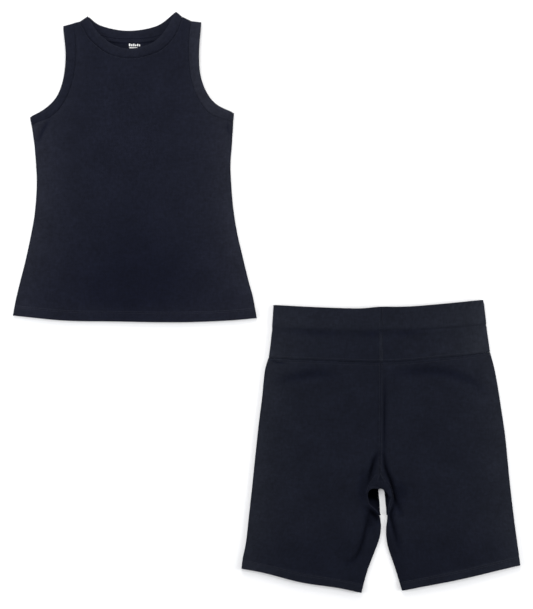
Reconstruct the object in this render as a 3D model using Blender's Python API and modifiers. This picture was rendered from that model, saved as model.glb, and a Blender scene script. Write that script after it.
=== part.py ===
"""Sleeveless tank top and bike shorts, laid flat side by side.

Lengths are in millimetres until a mesh is made, +X is the right of the layout, +Y runs towards the
neck and the waist, and +Z points up from the surface that both garments lie on. Each garment has its
own origin: the tank's is on its hem's middle, the shorts' is at the crotch. A cloth layer is drawn as
the sheet halfway through its thickness and then given its thickness by a Solidify modifier.
"""
from math import cos, exp, pi, sin, sqrt

import bmesh
import bpy
from mathutils import Vector
from mathutils.geometry import delaunay_2d_cdt

MM = 0.001
SEAM_GAP = 0.3

# Where each garment lies, seen from above.
TANK_AT = (-238.86, -22.03)
SHORTS_AT = (205.64, -335.03)

# Cloth thicknesses.
JERSEY = 1.2
SHORTS_JERSEY = 1.4
BINDING = 2.3
WAISTBAND = 2.8
ELASTIC_CHANNEL = 3.6

# Turned-up hems and the elastic's channel at the top of the waistband.
TANK_HEM = 16.0
HEM_STEP = 2.0
CHANNEL_DEPTH = 42.0

# Height of the middle of each upper layer above the surface.
TANK_RISE = 3.6
TANK_RISE_REACH = 34.0
BINDING_LOW = 3.9
LEG_LEVEL = 5.2
WAISTBAND_LEVEL = 6.0
INSEAM_REACH = 26.0
CROTCH_LIFT = 2.4

GRID = 22.0

# Tank outline, from its own origin.
TANK_HEM_RUN = [(-218, -1), (-125, -10), (-39, -11.5), (48, -13), (113, -12.5), (177, -9.5), (221, -5.5)]
TANK_SIDE_LEFT = [(-185, 343), (-177, 286), (-174.5, 235), (-178.5, 184), (-188.5, 127), (-206, 55),
                  (-218, -1)]
TANK_SIDE_RIGHT = [(221, -5.5), (206, 62), (189, 134), (178.5, 192), (173.5, 264), (175.5, 305),
                   (178.5, 348)]
ARM_SEAM_LEFT = [(-108, 523), (-105, 465), (-113, 415), (-130, 378), (-152, 356), (-185, 343)]
ARM_EDGE_LEFT = [(-127.5, 518), (-123.5, 470), (-127, 426), (-139, 393), (-160, 372), (-187.5, 356)]
ARM_SEAM_RIGHT = [(102, 527), (99, 470), (105, 420), (120, 384), (141, 361), (178.5, 348)]
ARM_EDGE_RIGHT = [(120.5, 526), (117, 474), (119.5, 432), (131, 400), (149, 378.5), (180, 363.5)]
NECK_FRONT_SEAM = [(-98, 525), (-79, 498), (-47, 472), (-4, 463), (43, 475), (72, 502), (87, 534)]
NECK_FRONT_EDGE = [(-83, 537), (-65, 508), (-37, 486), (-5, 479), (34, 490), (58, 514), (74, 544)]
NECK_BACK_SEAM = [(-98, 525), (-59, 504), (-9, 498), (47, 505), (87, 534)]
NECK_BACK_EDGE = [(-83, 537), (-59, 521), (-11, 512), (41, 521), (74, 544)]

# Waistband, from the shorts' origin: its top edge and the seam below it.
WAIST_TOP = [(-192, 331), (-110, 327), (-41, 325), (0, 328), (60, 329), (183, 340)]
WAIST_SEAM = [(-202, 236), (-110, 232), (-41, 229.5), (0, 229), (60, 232), (196, 246)]
# The waistband's ends meet at the middle of the front.
FRONT_MIDDLE = 3

# Legs: pairs of (inner edge, side fold) from the waist seam down to the hem.
LEG_ROWS_LEFT = [
    ((-1, 228), (-202.5, 235)),
    ((-1, 180), (-211, 196)),
    ((-1, 124), (-217, 142)),
    ((-2, 75), (-223, 88)),
    ((-2, 31), (-228.5, 40)),
    ((-22, 2), (-231, 14)),
    ((-28, -22), (-234, -14)),
    ((-2, -51), (-237, -46)),
    ((0, -68), (-240, -65)),
    ((-8, -104), (-243, -98)),
    ((-31, -171), (-249, -127)),
    ((-35, -187), (-251, -143)),
]
LEG_ROWS_RIGHT = [
    ((-1, 228), (196, 245)),
    ((-1, 180), (206.5, 207)),
    ((-1, 124), (214, 162)),
    ((-2, 75), (220, 121)),
    ((-2, 31), (225.5, 78)),
    ((17, 2), (228, 50)),
    ((20, -14), (230, 30)),
    ((16, -30), (232, 8)),
    ((11.3, -55), (235, -18)),
    ((10.2, -90), (240, -58)),
    ((33, -167), (249, -122)),
    ((38, -183), (251, -137)),
]
HEM_SAG = 1.3
APEX_ROW = 4
EAR_END_ROW_LEFT = 7
EAR_END_ROW_RIGHT = 8
# How far a row lies from a leg's inner edge where its sheet is sampled.
LEG_STATIONS = (0.0, 6.0, 14.0, INSEAM_REACH, 60.0, 100.0, 145.0)

# Gusset: (seam with a leg, folded edge at the crotch, share of the full height at the seam) from one
# leg's tip to the other's.
GUSSET_RIBS = [
    ((-4.7, -48), (-1.9, -47), 0.0),
    ((-14.5, -37), (-2.2, -34), 0.5),
    ((-28, -22), (-3, -20), 1.0),
    ((-24, -7), (-4.1, -9), 1.0),
    ((-22, 2), (-4.3, -3), 1.0),
    ((-12, 16), (-3, 0.5), 1.0),
    ((-2, 30), (0, 1.5), 1.0),
    ((7.5, 16), (3, 0), 1.0),
    ((17, 2), (5.5, -3.5), 1.0),
    ((20, -14), (7.4, -12), 1.0),
    ((16, -30), (8.5, -25), 1.0),
    ((12.2, -50), (10.2, -46), 0.1),
]
GUSSET_SEAM_GAP = 0.5
GUSSET_FOLD = 2.3
GUSSET_CLEAR_OF_SURFACE = 0.1
# Where a gusset rib bends on its way to the folded edge, and how much of its height is left there.
RIB_BEND = 0.4
RIB_BEND_HEIGHT = 0.7

# Points of an outline closer than this count as one, and a corner's inset grows no more than this.
JOIN_TOLERANCE = 0.5
SHARPEST_CORNER = 0.4
TURN_STEPS = 4

SLOTS = {
    "tank_jersey": ((0.0119, 0.0130, 0.0231), 0.92),
    "tank_binding": ((0.0130, 0.0143, 0.0255), 0.90),
    "shorts_jersey": ((0.0122, 0.0134, 0.0222), 0.90),
    "waistband_jersey": ((0.0145, 0.0157, 0.0255), 0.88),
}


# ---------------------------------------------------------------- runs and outlines

def smooth_run(points, per_span=4):
    """A Catmull-Rom curve through the points, with both ends kept."""
    spots = [Vector(point) for point in points]
    padded = [spots[0] * 2 - spots[1], *spots, spots[-1] * 2 - spots[-2]]
    run = []
    for before, start, end, after in zip(padded, padded[1:], padded[2:], padded[3:]):
        for step in range(per_span):
            t = step / per_span
            straight = (end - before) * t
            square = (before * 2 - start * 5 + end * 4 - after) * t * t
            cube = (start * 3 - before - end * 3 + after) * t * t * t
            run.append((start * 2 + straight + square + cube) / 2)
    run.append(spots[-1])
    return run


def joined(*runs):
    """One closed outline from runs that each start where the last one ends."""
    outline = []
    for run in runs:
        for point in run:
            if not outline or (point - outline[-1]).length > JOIN_TOLERANCE:
                outline.append(point)
    if (outline[0] - outline[-1]).length < JOIN_TOLERANCE:
        outline.pop()
    return outline


def inset(outline, distance):
    """The counter-clockwise outline moved inwards by a small distance."""
    moved = []
    for index, point in enumerate(outline):
        before = (point - outline[index - 1]).normalized()
        after = (outline[(index + 1) % len(outline)] - point).normalized()
        inward = Vector((-before.y - after.y, before.x + after.x)).normalized()
        square_off = max(SHARPEST_CORNER, inward.dot(Vector((-before.y, before.x))))
        moved.append(point + inward * distance / square_off)
    return moved


def distance_to(point, run):
    """Shortest distance from a point to a run of straight pieces."""
    nearest = 1e9
    for start, end in zip(run, run[1:]):
        along = end - start
        share = min(1.0, max(0.0, (point - start).dot(along) / along.length_squared))
        nearest = min(nearest, (point - start - along * share).length)
    return nearest


def inside(point, outline):
    """Whether a point lies inside a closed outline."""
    crossings = 0
    for start, end in zip(outline, outline[1:] + outline[:1]):
        if (start.y > point.y) != (end.y > point.y):
            share = (point.y - start.y) / (end.y - start.y)
            crossings += start.x + share * (end.x - start.x) > point.x
    return crossings % 2 == 1


def height_on(run, x):
    """The y of a left-to-right run at x, carried on level past its ends."""
    for start, end in zip(run, run[1:]):
        if start.x <= x <= end.x:
            return start.y + (end.y - start.y) * (x - start.x) / (end.x - start.x)
    return run[0].y if x < run[0].x else run[-1].y


# ---------------------------------------------------------------- cloth objects

def material(slot):
    """The Principled material of a slot, made once."""
    found = bpy.data.materials.get(slot)
    if found:
        return found
    color, roughness = SLOTS[slot]
    made = bpy.data.materials.new(slot)
    made.use_nodes = True
    shader = made.node_tree.nodes["Principled BSDF"]
    shader.inputs["Base Color"].default_value = (*color, 1.0)
    shader.inputs["Roughness"].default_value = roughness
    shader.inputs["Metallic"].default_value = 0.0
    return made


def cloth_object(name, mesh_data, thickness, shares, slot, garment):
    """A sheet of cloth with its thickness, shares giving each vertex's part of the full one."""
    cloth = bpy.data.objects.new(name, mesh_data)
    mesh_data.materials.append(material(slot))
    group = cloth.vertex_groups.new(name="thickness")
    for index, share in enumerate(shares):
        group.add([index], share, "REPLACE")
    wall = cloth.modifiers.new("wall", "SOLIDIFY")
    wall.thickness = thickness * MM
    wall.offset = 0.0
    wall.use_even_offset = True
    wall.vertex_group = "thickness"
    wall.thickness_vertex_group = 0.0
    cloth.parent = garment
    bpy.data.collections["bike_short_tank_top_set"].objects.link(cloth)
    return cloth


def loft(name, sections, thicknesses, slot, garment, ring=False):
    """Cloth through sections of equal length, each a list of (x, y, z) points."""
    count = len(sections[0])
    sheet = bmesh.new()
    rows = [[sheet.verts.new(Vector(point) * MM) for point in section] for section in sections]
    if ring:
        rows.append(rows[0])
    for near, far in zip(rows, rows[1:]):
        for index in range(count - 1):
            sheet.faces.new((near[index], near[index + 1], far[index + 1], far[index]))
    bmesh.ops.recalc_face_normals(sheet, faces=sheet.faces)
    mesh_data = bpy.data.meshes.new(name)
    sheet.to_mesh(mesh_data)
    sheet.free()
    full = max(max(row) for row in thicknesses)
    shares = [value / full for row in thicknesses for value in row]
    return cloth_object(name, mesh_data, full, shares, slot, garment)


def panel(name, outline, guides, middle, thickness, slot, garment):
    """Cloth that fills an outline, its middle height and its thickness read from two functions.

    The guides are lines that the sheet keeps as edges, such as the top of a hem.
    """
    spots = list(outline)
    edges = [(index, (index + 1) % len(outline)) for index in range(len(outline))]
    for guide in guides:
        first = len(spots)
        spots += guide
        edges += [(index, index + 1) for index in range(first, len(spots) - 1)]
    borders = [outline + outline[:1], *guides]
    left = min(point.x for point in outline)
    right = max(point.x for point in outline)
    low = min(point.y for point in outline)
    high = max(point.y for point in outline)
    row_height = GRID * sqrt(3) / 2
    for row in range(int((high - low) / row_height) + 1):
        for column in range(int((right - left) / GRID) + 2):
            spot = Vector((left + (column + row % 2 / 2) * GRID, low + row * row_height))
            if inside(spot, outline) and min(distance_to(spot, run) for run in borders) > GRID * 0.4:
                spots.append(spot)
    flat, _, triangles, *_ = delaunay_2d_cdt(spots, edges, [], 1, 0.01)
    sheet = bmesh.new()
    corners = [sheet.verts.new(Vector((p.x, p.y, middle(p))) * MM) for p in flat]
    for triangle in triangles:
        sheet.faces.new([corners[index] for index in triangle])
    loose = [vertex for vertex in sheet.verts if not vertex.link_faces]
    bmesh.ops.delete(sheet, geom=loose, context="VERTS")
    bmesh.ops.recalc_face_normals(sheet, faces=sheet.faces)
    depths = [thickness(Vector(vertex.co.xy) / MM) for vertex in sheet.verts]
    mesh_data = bpy.data.meshes.new(name)
    sheet.to_mesh(mesh_data)
    sheet.free()
    full = max(depths)
    return cloth_object(name, mesh_data, full, [depth / full for depth in depths], slot, garment)


def turn(spot, away, upper, lower, thickness):
    """Points of a half turn from an upper to a lower layer, its outside reaching the spot."""
    radius = (upper - lower) / 2
    centre = spot - away * (radius + thickness / 2)
    points = []
    for step in range(TURN_STEPS + 1):
        angle = pi / 2 - pi * step / TURN_STEPS
        reach = centre + away * radius * cos(angle)
        points.append((reach.x, reach.y, lower + radius + radius * sin(angle)))
    return points


# ---------------------------------------------------------------- tank top

HEM_CURVE = smooth_run(TANK_HEM_RUN)
SHOULDER_LEFT = [Vector(NECK_FRONT_SEAM[0]), Vector(ARM_SEAM_LEFT[0])]
SHOULDER_RIGHT = [Vector(ARM_SEAM_RIGHT[0]), Vector(NECK_FRONT_SEAM[-1])]
SHOULDER_STEEPNESS = 4.0
NECK_FOLD_CLEAR = 1.3
ARM_FOLD_CLEAR = 0.4


def tank_thickness(point):
    """Jersey, doubled where the hem is turned up."""
    above = point.y - height_on(HEM_CURVE, point.x)
    folded = min(1.0, max(0.0, (TANK_HEM + HEM_STEP - above) / HEM_STEP))
    return JERSEY * (1 + folded)


def tank_rise(point):
    """How far the front has lifted off the back, from none at the side and shoulder seams."""
    sides = min(distance_to(point, smooth_run(run)) for run in (TANK_SIDE_LEFT, TANK_SIDE_RIGHT))
    tops = min(distance_to(point, run) for run in (SHOULDER_LEFT, SHOULDER_RIGHT))
    return TANK_RISE * (1 - exp(-min(sides, tops * SHOULDER_STEEPNESS) / TANK_RISE_REACH))


def tank_front_middle(point):
    """Height of the middle of the front panel."""
    return tank_thickness(point) * 1.5 + SEAM_GAP + tank_rise(point)


def tank_back_middle(point):
    """Height of the middle of the back panel, whose underside is on the surface."""
    return tank_thickness(point) / 2


def tank_outline(neck_run):
    """Outline of a tank panel under the given neck seam."""
    outline = joined(
        HEM_CURVE,
        smooth_run(TANK_SIDE_RIGHT),
        smooth_run(ARM_SEAM_RIGHT)[::-1],
        smooth_run(neck_run)[::-1],
        smooth_run(ARM_SEAM_LEFT),
        smooth_run(TANK_SIDE_LEFT),
    )
    return inset(outline, SEAM_GAP / 2)


def tank_panels(garment):
    """Front and back, with the turned-up hem kept as a step."""
    guides = []
    for above in (TANK_HEM, TANK_HEM + HEM_STEP):
        guides.append([point + Vector((0, above)) for point in HEM_CURVE])
    panel("tank_front", tank_outline(NECK_FRONT_SEAM), guides, tank_front_middle, tank_thickness,
          "tank_jersey", garment)
    panel("tank_back", tank_outline(NECK_BACK_SEAM), guides, tank_back_middle, tank_thickness,
          "tank_jersey", garment)


def band_rungs(seam_run, edge_run):
    """Pairs of points across a band, a seam gap away from the panel."""
    rungs = []
    for seam, edge in zip(smooth_run(seam_run), smooth_run(edge_run)):
        rungs.append((seam + (edge - seam).normalized() * SEAM_GAP / 2, edge))
    return rungs


def band_ring(name, front, back, clear, garment):
    """A binding sewn in a ring: along the front, round a fold, along the back and round again.

    At a fold it keeps clear of the panels by a little more, because it turns square to its width.
    """
    low = BINDING / 2
    level = [max(BINDING_LOW, tank_front_middle(seam)) for seam, _ in front]
    sections = []
    for index, (seam, edge) in enumerate(front[1:-1], 1):
        sections.append([(*seam, level[index]), (*edge, level[index])])
    folds = []
    for rung, neighbour, upper in ((front[-1], front[-2], level[-1]), (front[0], front[1], level[0])):
        across = (rung[1] - rung[0]).normalized()
        away = Vector((-across.y, across.x))
        if away.dot(rung[0] - neighbour[0]) < 0:
            away = -away
        ends = [turn(spot, away, upper, low, BINDING) for spot in (rung[0] + across * clear, rung[1])]
        folds.append([[seam, edge] for seam, edge in zip(*ends)])
    sections += folds[0]
    for seam, edge in back[-2:0:-1]:
        sections.append([(*seam, low), (*edge, low)])
    sections += folds[1][::-1]
    thicknesses = [[BINDING, BINDING] for _ in sections]
    loft(name, sections, thicknesses, "tank_binding", garment, ring=True)


def tank_bindings(garment):
    """The neck band and both armhole bands."""
    band_ring("tank_neck_band", band_rungs(NECK_FRONT_SEAM, NECK_FRONT_EDGE),
              band_rungs(NECK_BACK_SEAM, NECK_BACK_EDGE), NECK_FOLD_CLEAR, garment)
    for side, seam_run, edge_run in (("left", ARM_SEAM_LEFT, ARM_EDGE_LEFT),
                                     ("right", ARM_SEAM_RIGHT, ARM_EDGE_RIGHT)):
        rungs = band_rungs(seam_run, edge_run)
        band_ring("tank_armhole_band_" + side, rungs, rungs, ARM_FOLD_CLEAR, garment)


# ---------------------------------------------------------------- shorts

def leg(name, rows, ear_end, outward, garment):
    """One leg: its front, the fold down its outer side and its back, in one piece."""
    sections = []
    thicknesses = []
    waist_curve = smooth_run(WAIST_SEAM)
    above_hem = tuple((x, y + HEM_STEP) for x, y in rows[-2])
    steps = [*rows[:-2], above_hem, *rows[-2:]]
    for index, (inner, outer) in enumerate(steps):
        by_gusset = APEX_ROW < index < ear_end
        inner = Vector(inner) + Vector((outward * SEAM_GAP * (1.0 if by_gusset else 0.5), 0))
        outer = Vector(outer)
        depth = SHORTS_JERSEY * (2 if index >= len(steps) - 2 else 1)
        low = depth / 2
        start = LEG_LEVEL
        if APEX_ROW <= index < ear_end:
            start = LEG_LEVEL + CROTCH_LIFT
        elif index >= ear_end:
            start = depth * 1.5 + SEAM_GAP
        across = (outer - inner).normalized()
        width = (outer - inner).length
        sag = HEM_SAG * index / len(steps)
        front = []
        back = []
        for station in LEG_STATIONS:
            share = station / width
            spot = inner + across * station - Vector((0, sag * 4 * share * (1 - share)))
            if index == 0:
                spot.y = height_on(waist_curve, spot.x) - SEAM_GAP / 2
            blend = min(1.0, station / INSEAM_REACH)
            blend = blend * blend * (3 - 2 * blend)
            front.append((*spot, start + (LEG_LEVEL - start) * blend))
            back.append((*spot, low))
        fold = turn(outer, across, LEG_LEVEL, low, depth)
        sections.append(front + fold + back[::-1])
        thicknesses.append([depth] * len(sections[-1]))
    loft(name, sections, thicknesses, "shorts_jersey", garment)


def gusset(garment):
    """The folded diamond between the legs, from its front seam round the crotch to its back seam."""
    sections = []
    low = SHORTS_JERSEY / 2 + GUSSET_CLEAR_OF_SURFACE
    closed = SHORTS_JERSEY * 1.5 + SEAM_GAP
    for seam, edge, share in GUSSET_RIBS:
        seam = Vector(seam)
        edge = Vector(edge)
        away = (edge - seam).normalized()
        seam = seam + away * GUSSET_SEAM_GAP
        fold = turn(edge, away, low + GUSSET_FOLD, low, SHORTS_JERSEY)
        upper = closed + (LEG_LEVEL + CROTCH_LIFT - closed) * share
        halfway = seam.lerp(edge, RIB_BEND)
        front = [(*seam, upper), (*halfway, closed + (upper - closed) * RIB_BEND_HEIGHT)]
        back = [(*halfway, low), (*seam, low)]
        sections.append(front + fold + back)
    thicknesses = [[SHORTS_JERSEY] * len(sections[0]) for _ in sections]
    loft("shorts_gusset", sections, thicknesses, "shorts_jersey", garment)


def waistband(garment):
    """A double strip that runs round the waist, its ends meeting at the middle of the front."""
    per_span = 4
    tops = smooth_run(WAIST_TOP, per_span)
    seams = smooth_run(WAIST_SEAM, per_span)
    depths = [ELASTIC_CHANNEL, ELASTIC_CHANNEL, WAISTBAND, WAISTBAND]

    def spots(index):
        top = tops[index]
        down = (seams[index] - top).normalized()
        height = (seams[index] - top).length
        stops = (0, CHANNEL_DEPTH - HEM_STEP, CHANNEL_DEPTH, height - SEAM_GAP)
        return [top + down * stop for stop in stops]

    def level_section(index, heights, shift=0.0):
        return [(spot.x + shift, spot.y, height) for spot, height in zip(spots(index), heights)]

    high = [WAISTBAND_LEVEL] * len(depths)
    low = [depth / 2 for depth in depths]
    middle = FRONT_MIDDLE * per_span
    last = len(tops) - 1
    sections = [level_section(middle, high, -SEAM_GAP / 2)]
    sections += [level_section(index, high) for index in range(middle - 1, 0, -1)]
    for index, outward in ((0, -1), (last, 1)):
        away = Vector((outward, 0))
        turned = [turn(spot, away, WAISTBAND_LEVEL, bottom, depth)
                  for spot, bottom, depth in zip(spots(index), low, depths)]
        fold = [list(section) for section in zip(*turned)]
        if index == 0:
            sections += fold
            sections += [level_section(back, low) for back in range(1, last)]
        else:
            sections += fold[::-1]
    sections += [level_section(index, high) for index in range(last - 1, middle, -1)]
    sections.append(level_section(middle, high, SEAM_GAP / 2))
    loft("shorts_waistband", sections, [depths] * len(sections), "waistband_jersey", garment)


# ---------------------------------------------------------------- the set

def start_empty():
    """Remove what the scene holds and make the set's collection."""
    for item in list(bpy.data.objects):
        bpy.data.objects.remove(item, do_unlink=True)
    parts = bpy.data.collections.new("bike_short_tank_top_set")
    bpy.context.scene.collection.children.link(parts)
    bpy.context.scene.unit_settings.system = "METRIC"


def garment_origin(name, place):
    """An empty that a garment's pieces hang from."""
    empty = bpy.data.objects.new(name, None)
    empty.location = Vector((*place, 0.0)) * MM
    bpy.data.collections["bike_short_tank_top_set"].objects.link(empty)
    return empty


def main():
    """Both garments, each from its own origin."""
    start_empty()
    tank = garment_origin("tank_origin", TANK_AT)
    tank_panels(tank)
    tank_bindings(tank)
    shorts = garment_origin("shorts_origin", SHORTS_AT)
    leg("shorts_leg_left", LEG_ROWS_LEFT, EAR_END_ROW_LEFT, -1, shorts)
    leg("shorts_leg_right", LEG_ROWS_RIGHT, EAR_END_ROW_RIGHT, 1, shorts)
    gusset(shorts)
    waistband(shorts)


main()
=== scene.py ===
"""Sleeveless tank top and bike shorts in dark navy jersey, laid flat side by side.

The shape functions work in millimetres from each garment's own origin: the tank's is on its hem's
middle and the shorts' is at the crotch, +X to the right, +Y towards the neck and the waist, +Z up.
Each piece of cloth is a fine sheet with a Solidify wall. Its height comes from one function that adds
the loft of the upper layer, its creases, its seam grooves and its puckers.
"""

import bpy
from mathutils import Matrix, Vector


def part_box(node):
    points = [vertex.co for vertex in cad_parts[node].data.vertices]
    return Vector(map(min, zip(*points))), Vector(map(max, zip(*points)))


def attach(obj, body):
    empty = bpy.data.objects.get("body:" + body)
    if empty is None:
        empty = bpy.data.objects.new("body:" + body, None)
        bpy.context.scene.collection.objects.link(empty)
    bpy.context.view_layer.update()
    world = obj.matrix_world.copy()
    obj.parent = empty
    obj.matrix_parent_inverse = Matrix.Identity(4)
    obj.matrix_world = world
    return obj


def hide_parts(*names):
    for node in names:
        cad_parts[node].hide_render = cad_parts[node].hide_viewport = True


bl_info = {
    "name": "Tank Top and Bike Shorts Set",
    "version": (1, 0, 0),
    "blender": (4, 5, 0),
    "location": "View3D > Sidebar > Garment Set",
    "description": "Builds a tank top and bike shorts, laid flat with their seams, stitches and creases",
    "category": "Add Mesh",
}

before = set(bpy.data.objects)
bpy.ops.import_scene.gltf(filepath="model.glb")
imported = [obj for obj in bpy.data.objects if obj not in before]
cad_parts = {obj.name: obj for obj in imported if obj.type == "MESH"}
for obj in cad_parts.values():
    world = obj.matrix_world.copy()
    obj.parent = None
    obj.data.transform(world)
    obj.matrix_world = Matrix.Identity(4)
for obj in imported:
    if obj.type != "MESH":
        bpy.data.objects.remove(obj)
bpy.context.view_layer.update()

import bpy
import numpy as np
from bpy.props import FloatProperty, FloatVectorProperty, PointerProperty
from mathutils import Vector
from mathutils.bvhtree import BVHTree
from mathutils.geometry import delaunay_2d_cdt
from mathutils.kdtree import KDTree

MM = 0.001

# The camera, in metres: where it looks straight down from, how much of the surface it sees from top
# to bottom and how high above the surface that is measured.
CAMERA_PLACE = (-0.0004, -0.0031)
CAMERA_LENS = 84.0
CAMERA_SENSOR = 36.0
CAMERA_FIELD = 1.0962
CLOTH_LEVEL = 0.004
SURFACE_SIZE = 14.0
SURFACE_LEVEL = -0.0006
# Soft lights: name, place, width, power and colour.
LAMPS = [
    ("softbox_above", (0.0, 0.6, 2.9), 2.2, 30.0, (1.0, 1.0, 1.0)),
    ("softbox_top", (-0.2, 2.3, 1.3), 1.3, 38.5, (1.0, 0.99, 0.97)),
    ("softbox_left", (-2.2, -0.1, 1.1), 1.2, 32.0, (0.97, 0.98, 1.0)),
    ("softbox_right", (2.2, -0.2, 1.1), 1.2, 35.0, (0.98, 0.99, 1.0)),
]
AIR_COLOUR = (0.96, 0.97, 1.0, 1.0)
AIR_STRENGTH = 0.3

# ---------------------------------------------------------------- cut lines, in millimetres

# The lowest corner of a garment's CAD box, from that garment's own origin.
TANK_CORNER = (-217.9, -12.9)
SHORTS_CORNER = (-202.07, 229.13)

HEM = [(-218, -1), (-125, -10), (-39, -11.5), (48, -13), (113, -12.5), (177, -9.5), (221, -5.5)]
SIDE_LEFT = [(-185, 343), (-180.3, 314), (-177, 275), (-175.4, 235), (-179, 184), (-186.3, 141),
             (-195.6, 98), (-206.6, 55), (-213.2, 27), (-218, -1)]
SIDE_RIGHT = [(221, -5.5), (214, 33), (206, 62), (195.5, 105), (185.6, 148), (178.7, 192), (175, 235),
              (173.6, 271), (176, 307), (178.5, 348)]
ARM_SEAM = {
    "left": [(-108, 525.6), (-105, 465), (-113, 415), (-130, 378), (-152, 356), (-185, 343)],
    "right": [(102, 529.4), (99, 470), (105, 420), (120, 384), (141, 361), (178.5, 348)],
}
ARM_EDGE = {
    "left": [(-127.5, 520.3), (-122.5, 470), (-126.5, 426), (-138.5, 393), (-160, 371), (-187.5, 356)],
    "right": [(121, 527.3), (117, 474), (119.5, 432), (131, 400), (149, 378.5), (180, 363.5)],
}
NECK_SEAM = {
    "front": [(-98, 528.2), (-88.5, 514.5), (-79, 498), (-47, 472), (-4, 463), (43, 475), (72, 502),
              (87, 536.8)],
    "back": [(-98, 528.2), (-59, 504), (-9, 498), (47, 505), (87, 536.8)],
}
NECK_EDGE = {
    "front": [(-83.5, 538.2), (-74.5, 523), (-65, 508), (-37, 486), (-5, 479), (34, 490), (58, 514),
              (75.5, 546.5)],
    "back": [(-83.5, 538.2), (-59, 521), (-11, 512), (41, 521), (75.5, 546.5)],
}

WAIST_TOP = [(-192, 331), (-110, 327), (-41, 325), (0, 328), (60, 329), (183, 340)]
WAIST_SEAM = [(-202, 236), (-110, 232), (-41, 229.5), (0, 229), (60, 232), (196, 246)]
LEG_FOLD = {
    "left": [(-202.5, 235.5), (-209, 212), (-214, 164), (-220, 116), (-227, 51), (-232, 2), (-237.3, -46),
             (-242.7, -95), (-249, -126), (-251, -143.5)],
    "right": [(196.5, 245.5), (203, 222), (209.3, 190), (217, 141), (224, 92), (230.3, 28), (235.6, -21),
              (241.7, -70), (248, -115), (251, -137)],
}
LEG_INNER = {
    "left": [(-1, 229), (-1, 124), (-2.5, 32), (-9, 24.5), (-14.4, 17), (-19.2, 9.5), (-22.8, 1),
             (-25.2, -7), (-25.6, -14), (-24.6, -21), (-22.6, -28), (-16, -33.5), (-8.6, -40.4),
             (-3, -48), (0, -68), (-2.4, -88), (-9, -107), (-22.8, -143), (-30.9, -170), (-35, -187)],
    "right": [(-1, 229), (-1, 124), (-2.5, 32), (4, 21), (10, 12), (17, 2), (20, -14), (18, -22), (16, -30),
              (12, -49), (11.2, -58), (9.6, -72), (10, -88), (13.5, -107), (25.8, -143), (34, -170),
              (38, -183)],
}
# Where the gusset ends and the two edges of one leg meet in the inseam.
INSEAM_START = {"left": -49.0, "right": -50.0}
# How a leg's hem sags below a straight line: one broad wave and one three times as short.
HEM_WAVES = {"left": (0.9, -1.6), "right": (1.5, -0.3)}

# Gusset: its seam with the legs, its folded edge at the crotch and, for each point of the seam, how
# far the cloth between the two sinks in, from one leg's tip over the front seam to the other's.
GUSSET_SEAM = [(-3.6, -47), (-8.6, -40.4), (-16, -33.5), (-22.6, -28), (-24.6, -21), (-25.6, -14),
               (-25.2, -7), (-22.8, 1), (-19.2, 9.5), (-14.4, 17), (-9, 24.5), (-2.5, 31.5), (4, 21),
               (10, 12), (17, 2), (19, -6), (20, -14), (18, -22), (16, -30), (14, -39), (12, -48.5)]
GUSSET_FOLD = [(-2, -47), (-1.8, -42), (-1.9, -34), (-2.3, -26), (-3.1, -18), (-3.9, -10),
               (-4.2, -6), (-4.3, -3), (-3.8, -0.8), (-2.8, 0.5), (-1.4, 1), (0, 0.9), (1.6, 0.3),
               (3.6, -0.9), (5.2, -2.6), (6.3, -5), (7, -10), (7.7, -17), (8.4, -24), (9.6, -35),
               (10.6, -46)]
GUSSET_SINK = [0.3, 0.7, *12 * [1.0], 0.9, 0.7, 0.7, 0.7, 0.6, 0.5, 0.3]
# The arch under the crotch: the cloth above it stays up, the cloth below it sinks in.
GUSSET_ARCH = [(-27, -13), (-25.4, -8.5), (-23.5, -4.4), (-20.5, -1.2), (-15.3, 1.2), (-7, 1.2),
               (-5, 0.2), (-4, -2), (-3, -7), (5.4, -8), (6.6, -4.6), (8.6, -4), (12.7, -9),
               (15.5, -13), (20, -16)]

# Creases: the line of the trough, its half width and its depth; a minus depth is a ridge.
TANK_CREASES = [
    ([(-150, 353), (-163, 334), (-176, 302)], 4.5, 2.6),
    ([(-140, 340), (-152, 318), (-163, 280)], 9.0, 0.9),
    ([(168, 348), (169, 335), (176, 318)], 3.5, 1.6),
    ([(150, 345), (158, 318), (164, 285)], 8.0, 0.7),
    ([(-60, 440), (-66, 380), (-58, 300), (-66, 220)], 26.0, 0.9),
    ([(62, 430), (58, 360), (66, 280), (58, 200)], 28.0, 0.8),
    ([(-20, 330), (-10, 250), (-24, 160), (-14, 70)], 34.0, -0.9),
    ([(-150, 190), (-150, 120), (-166, 50)], 22.0, 0.8),
    ([(148, 200), (152, 120), (170, 40)], 22.0, 0.8),
    ([(-90, 60), (-20, 52), (70, 62)], 20.0, 0.5),
    ([(-93, 470), (-70, 450), (-50, 430)], 9.0, 0.6),
    ([(84, 470), (66, 452), (50, 430)], 9.0, 0.5),
]
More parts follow.
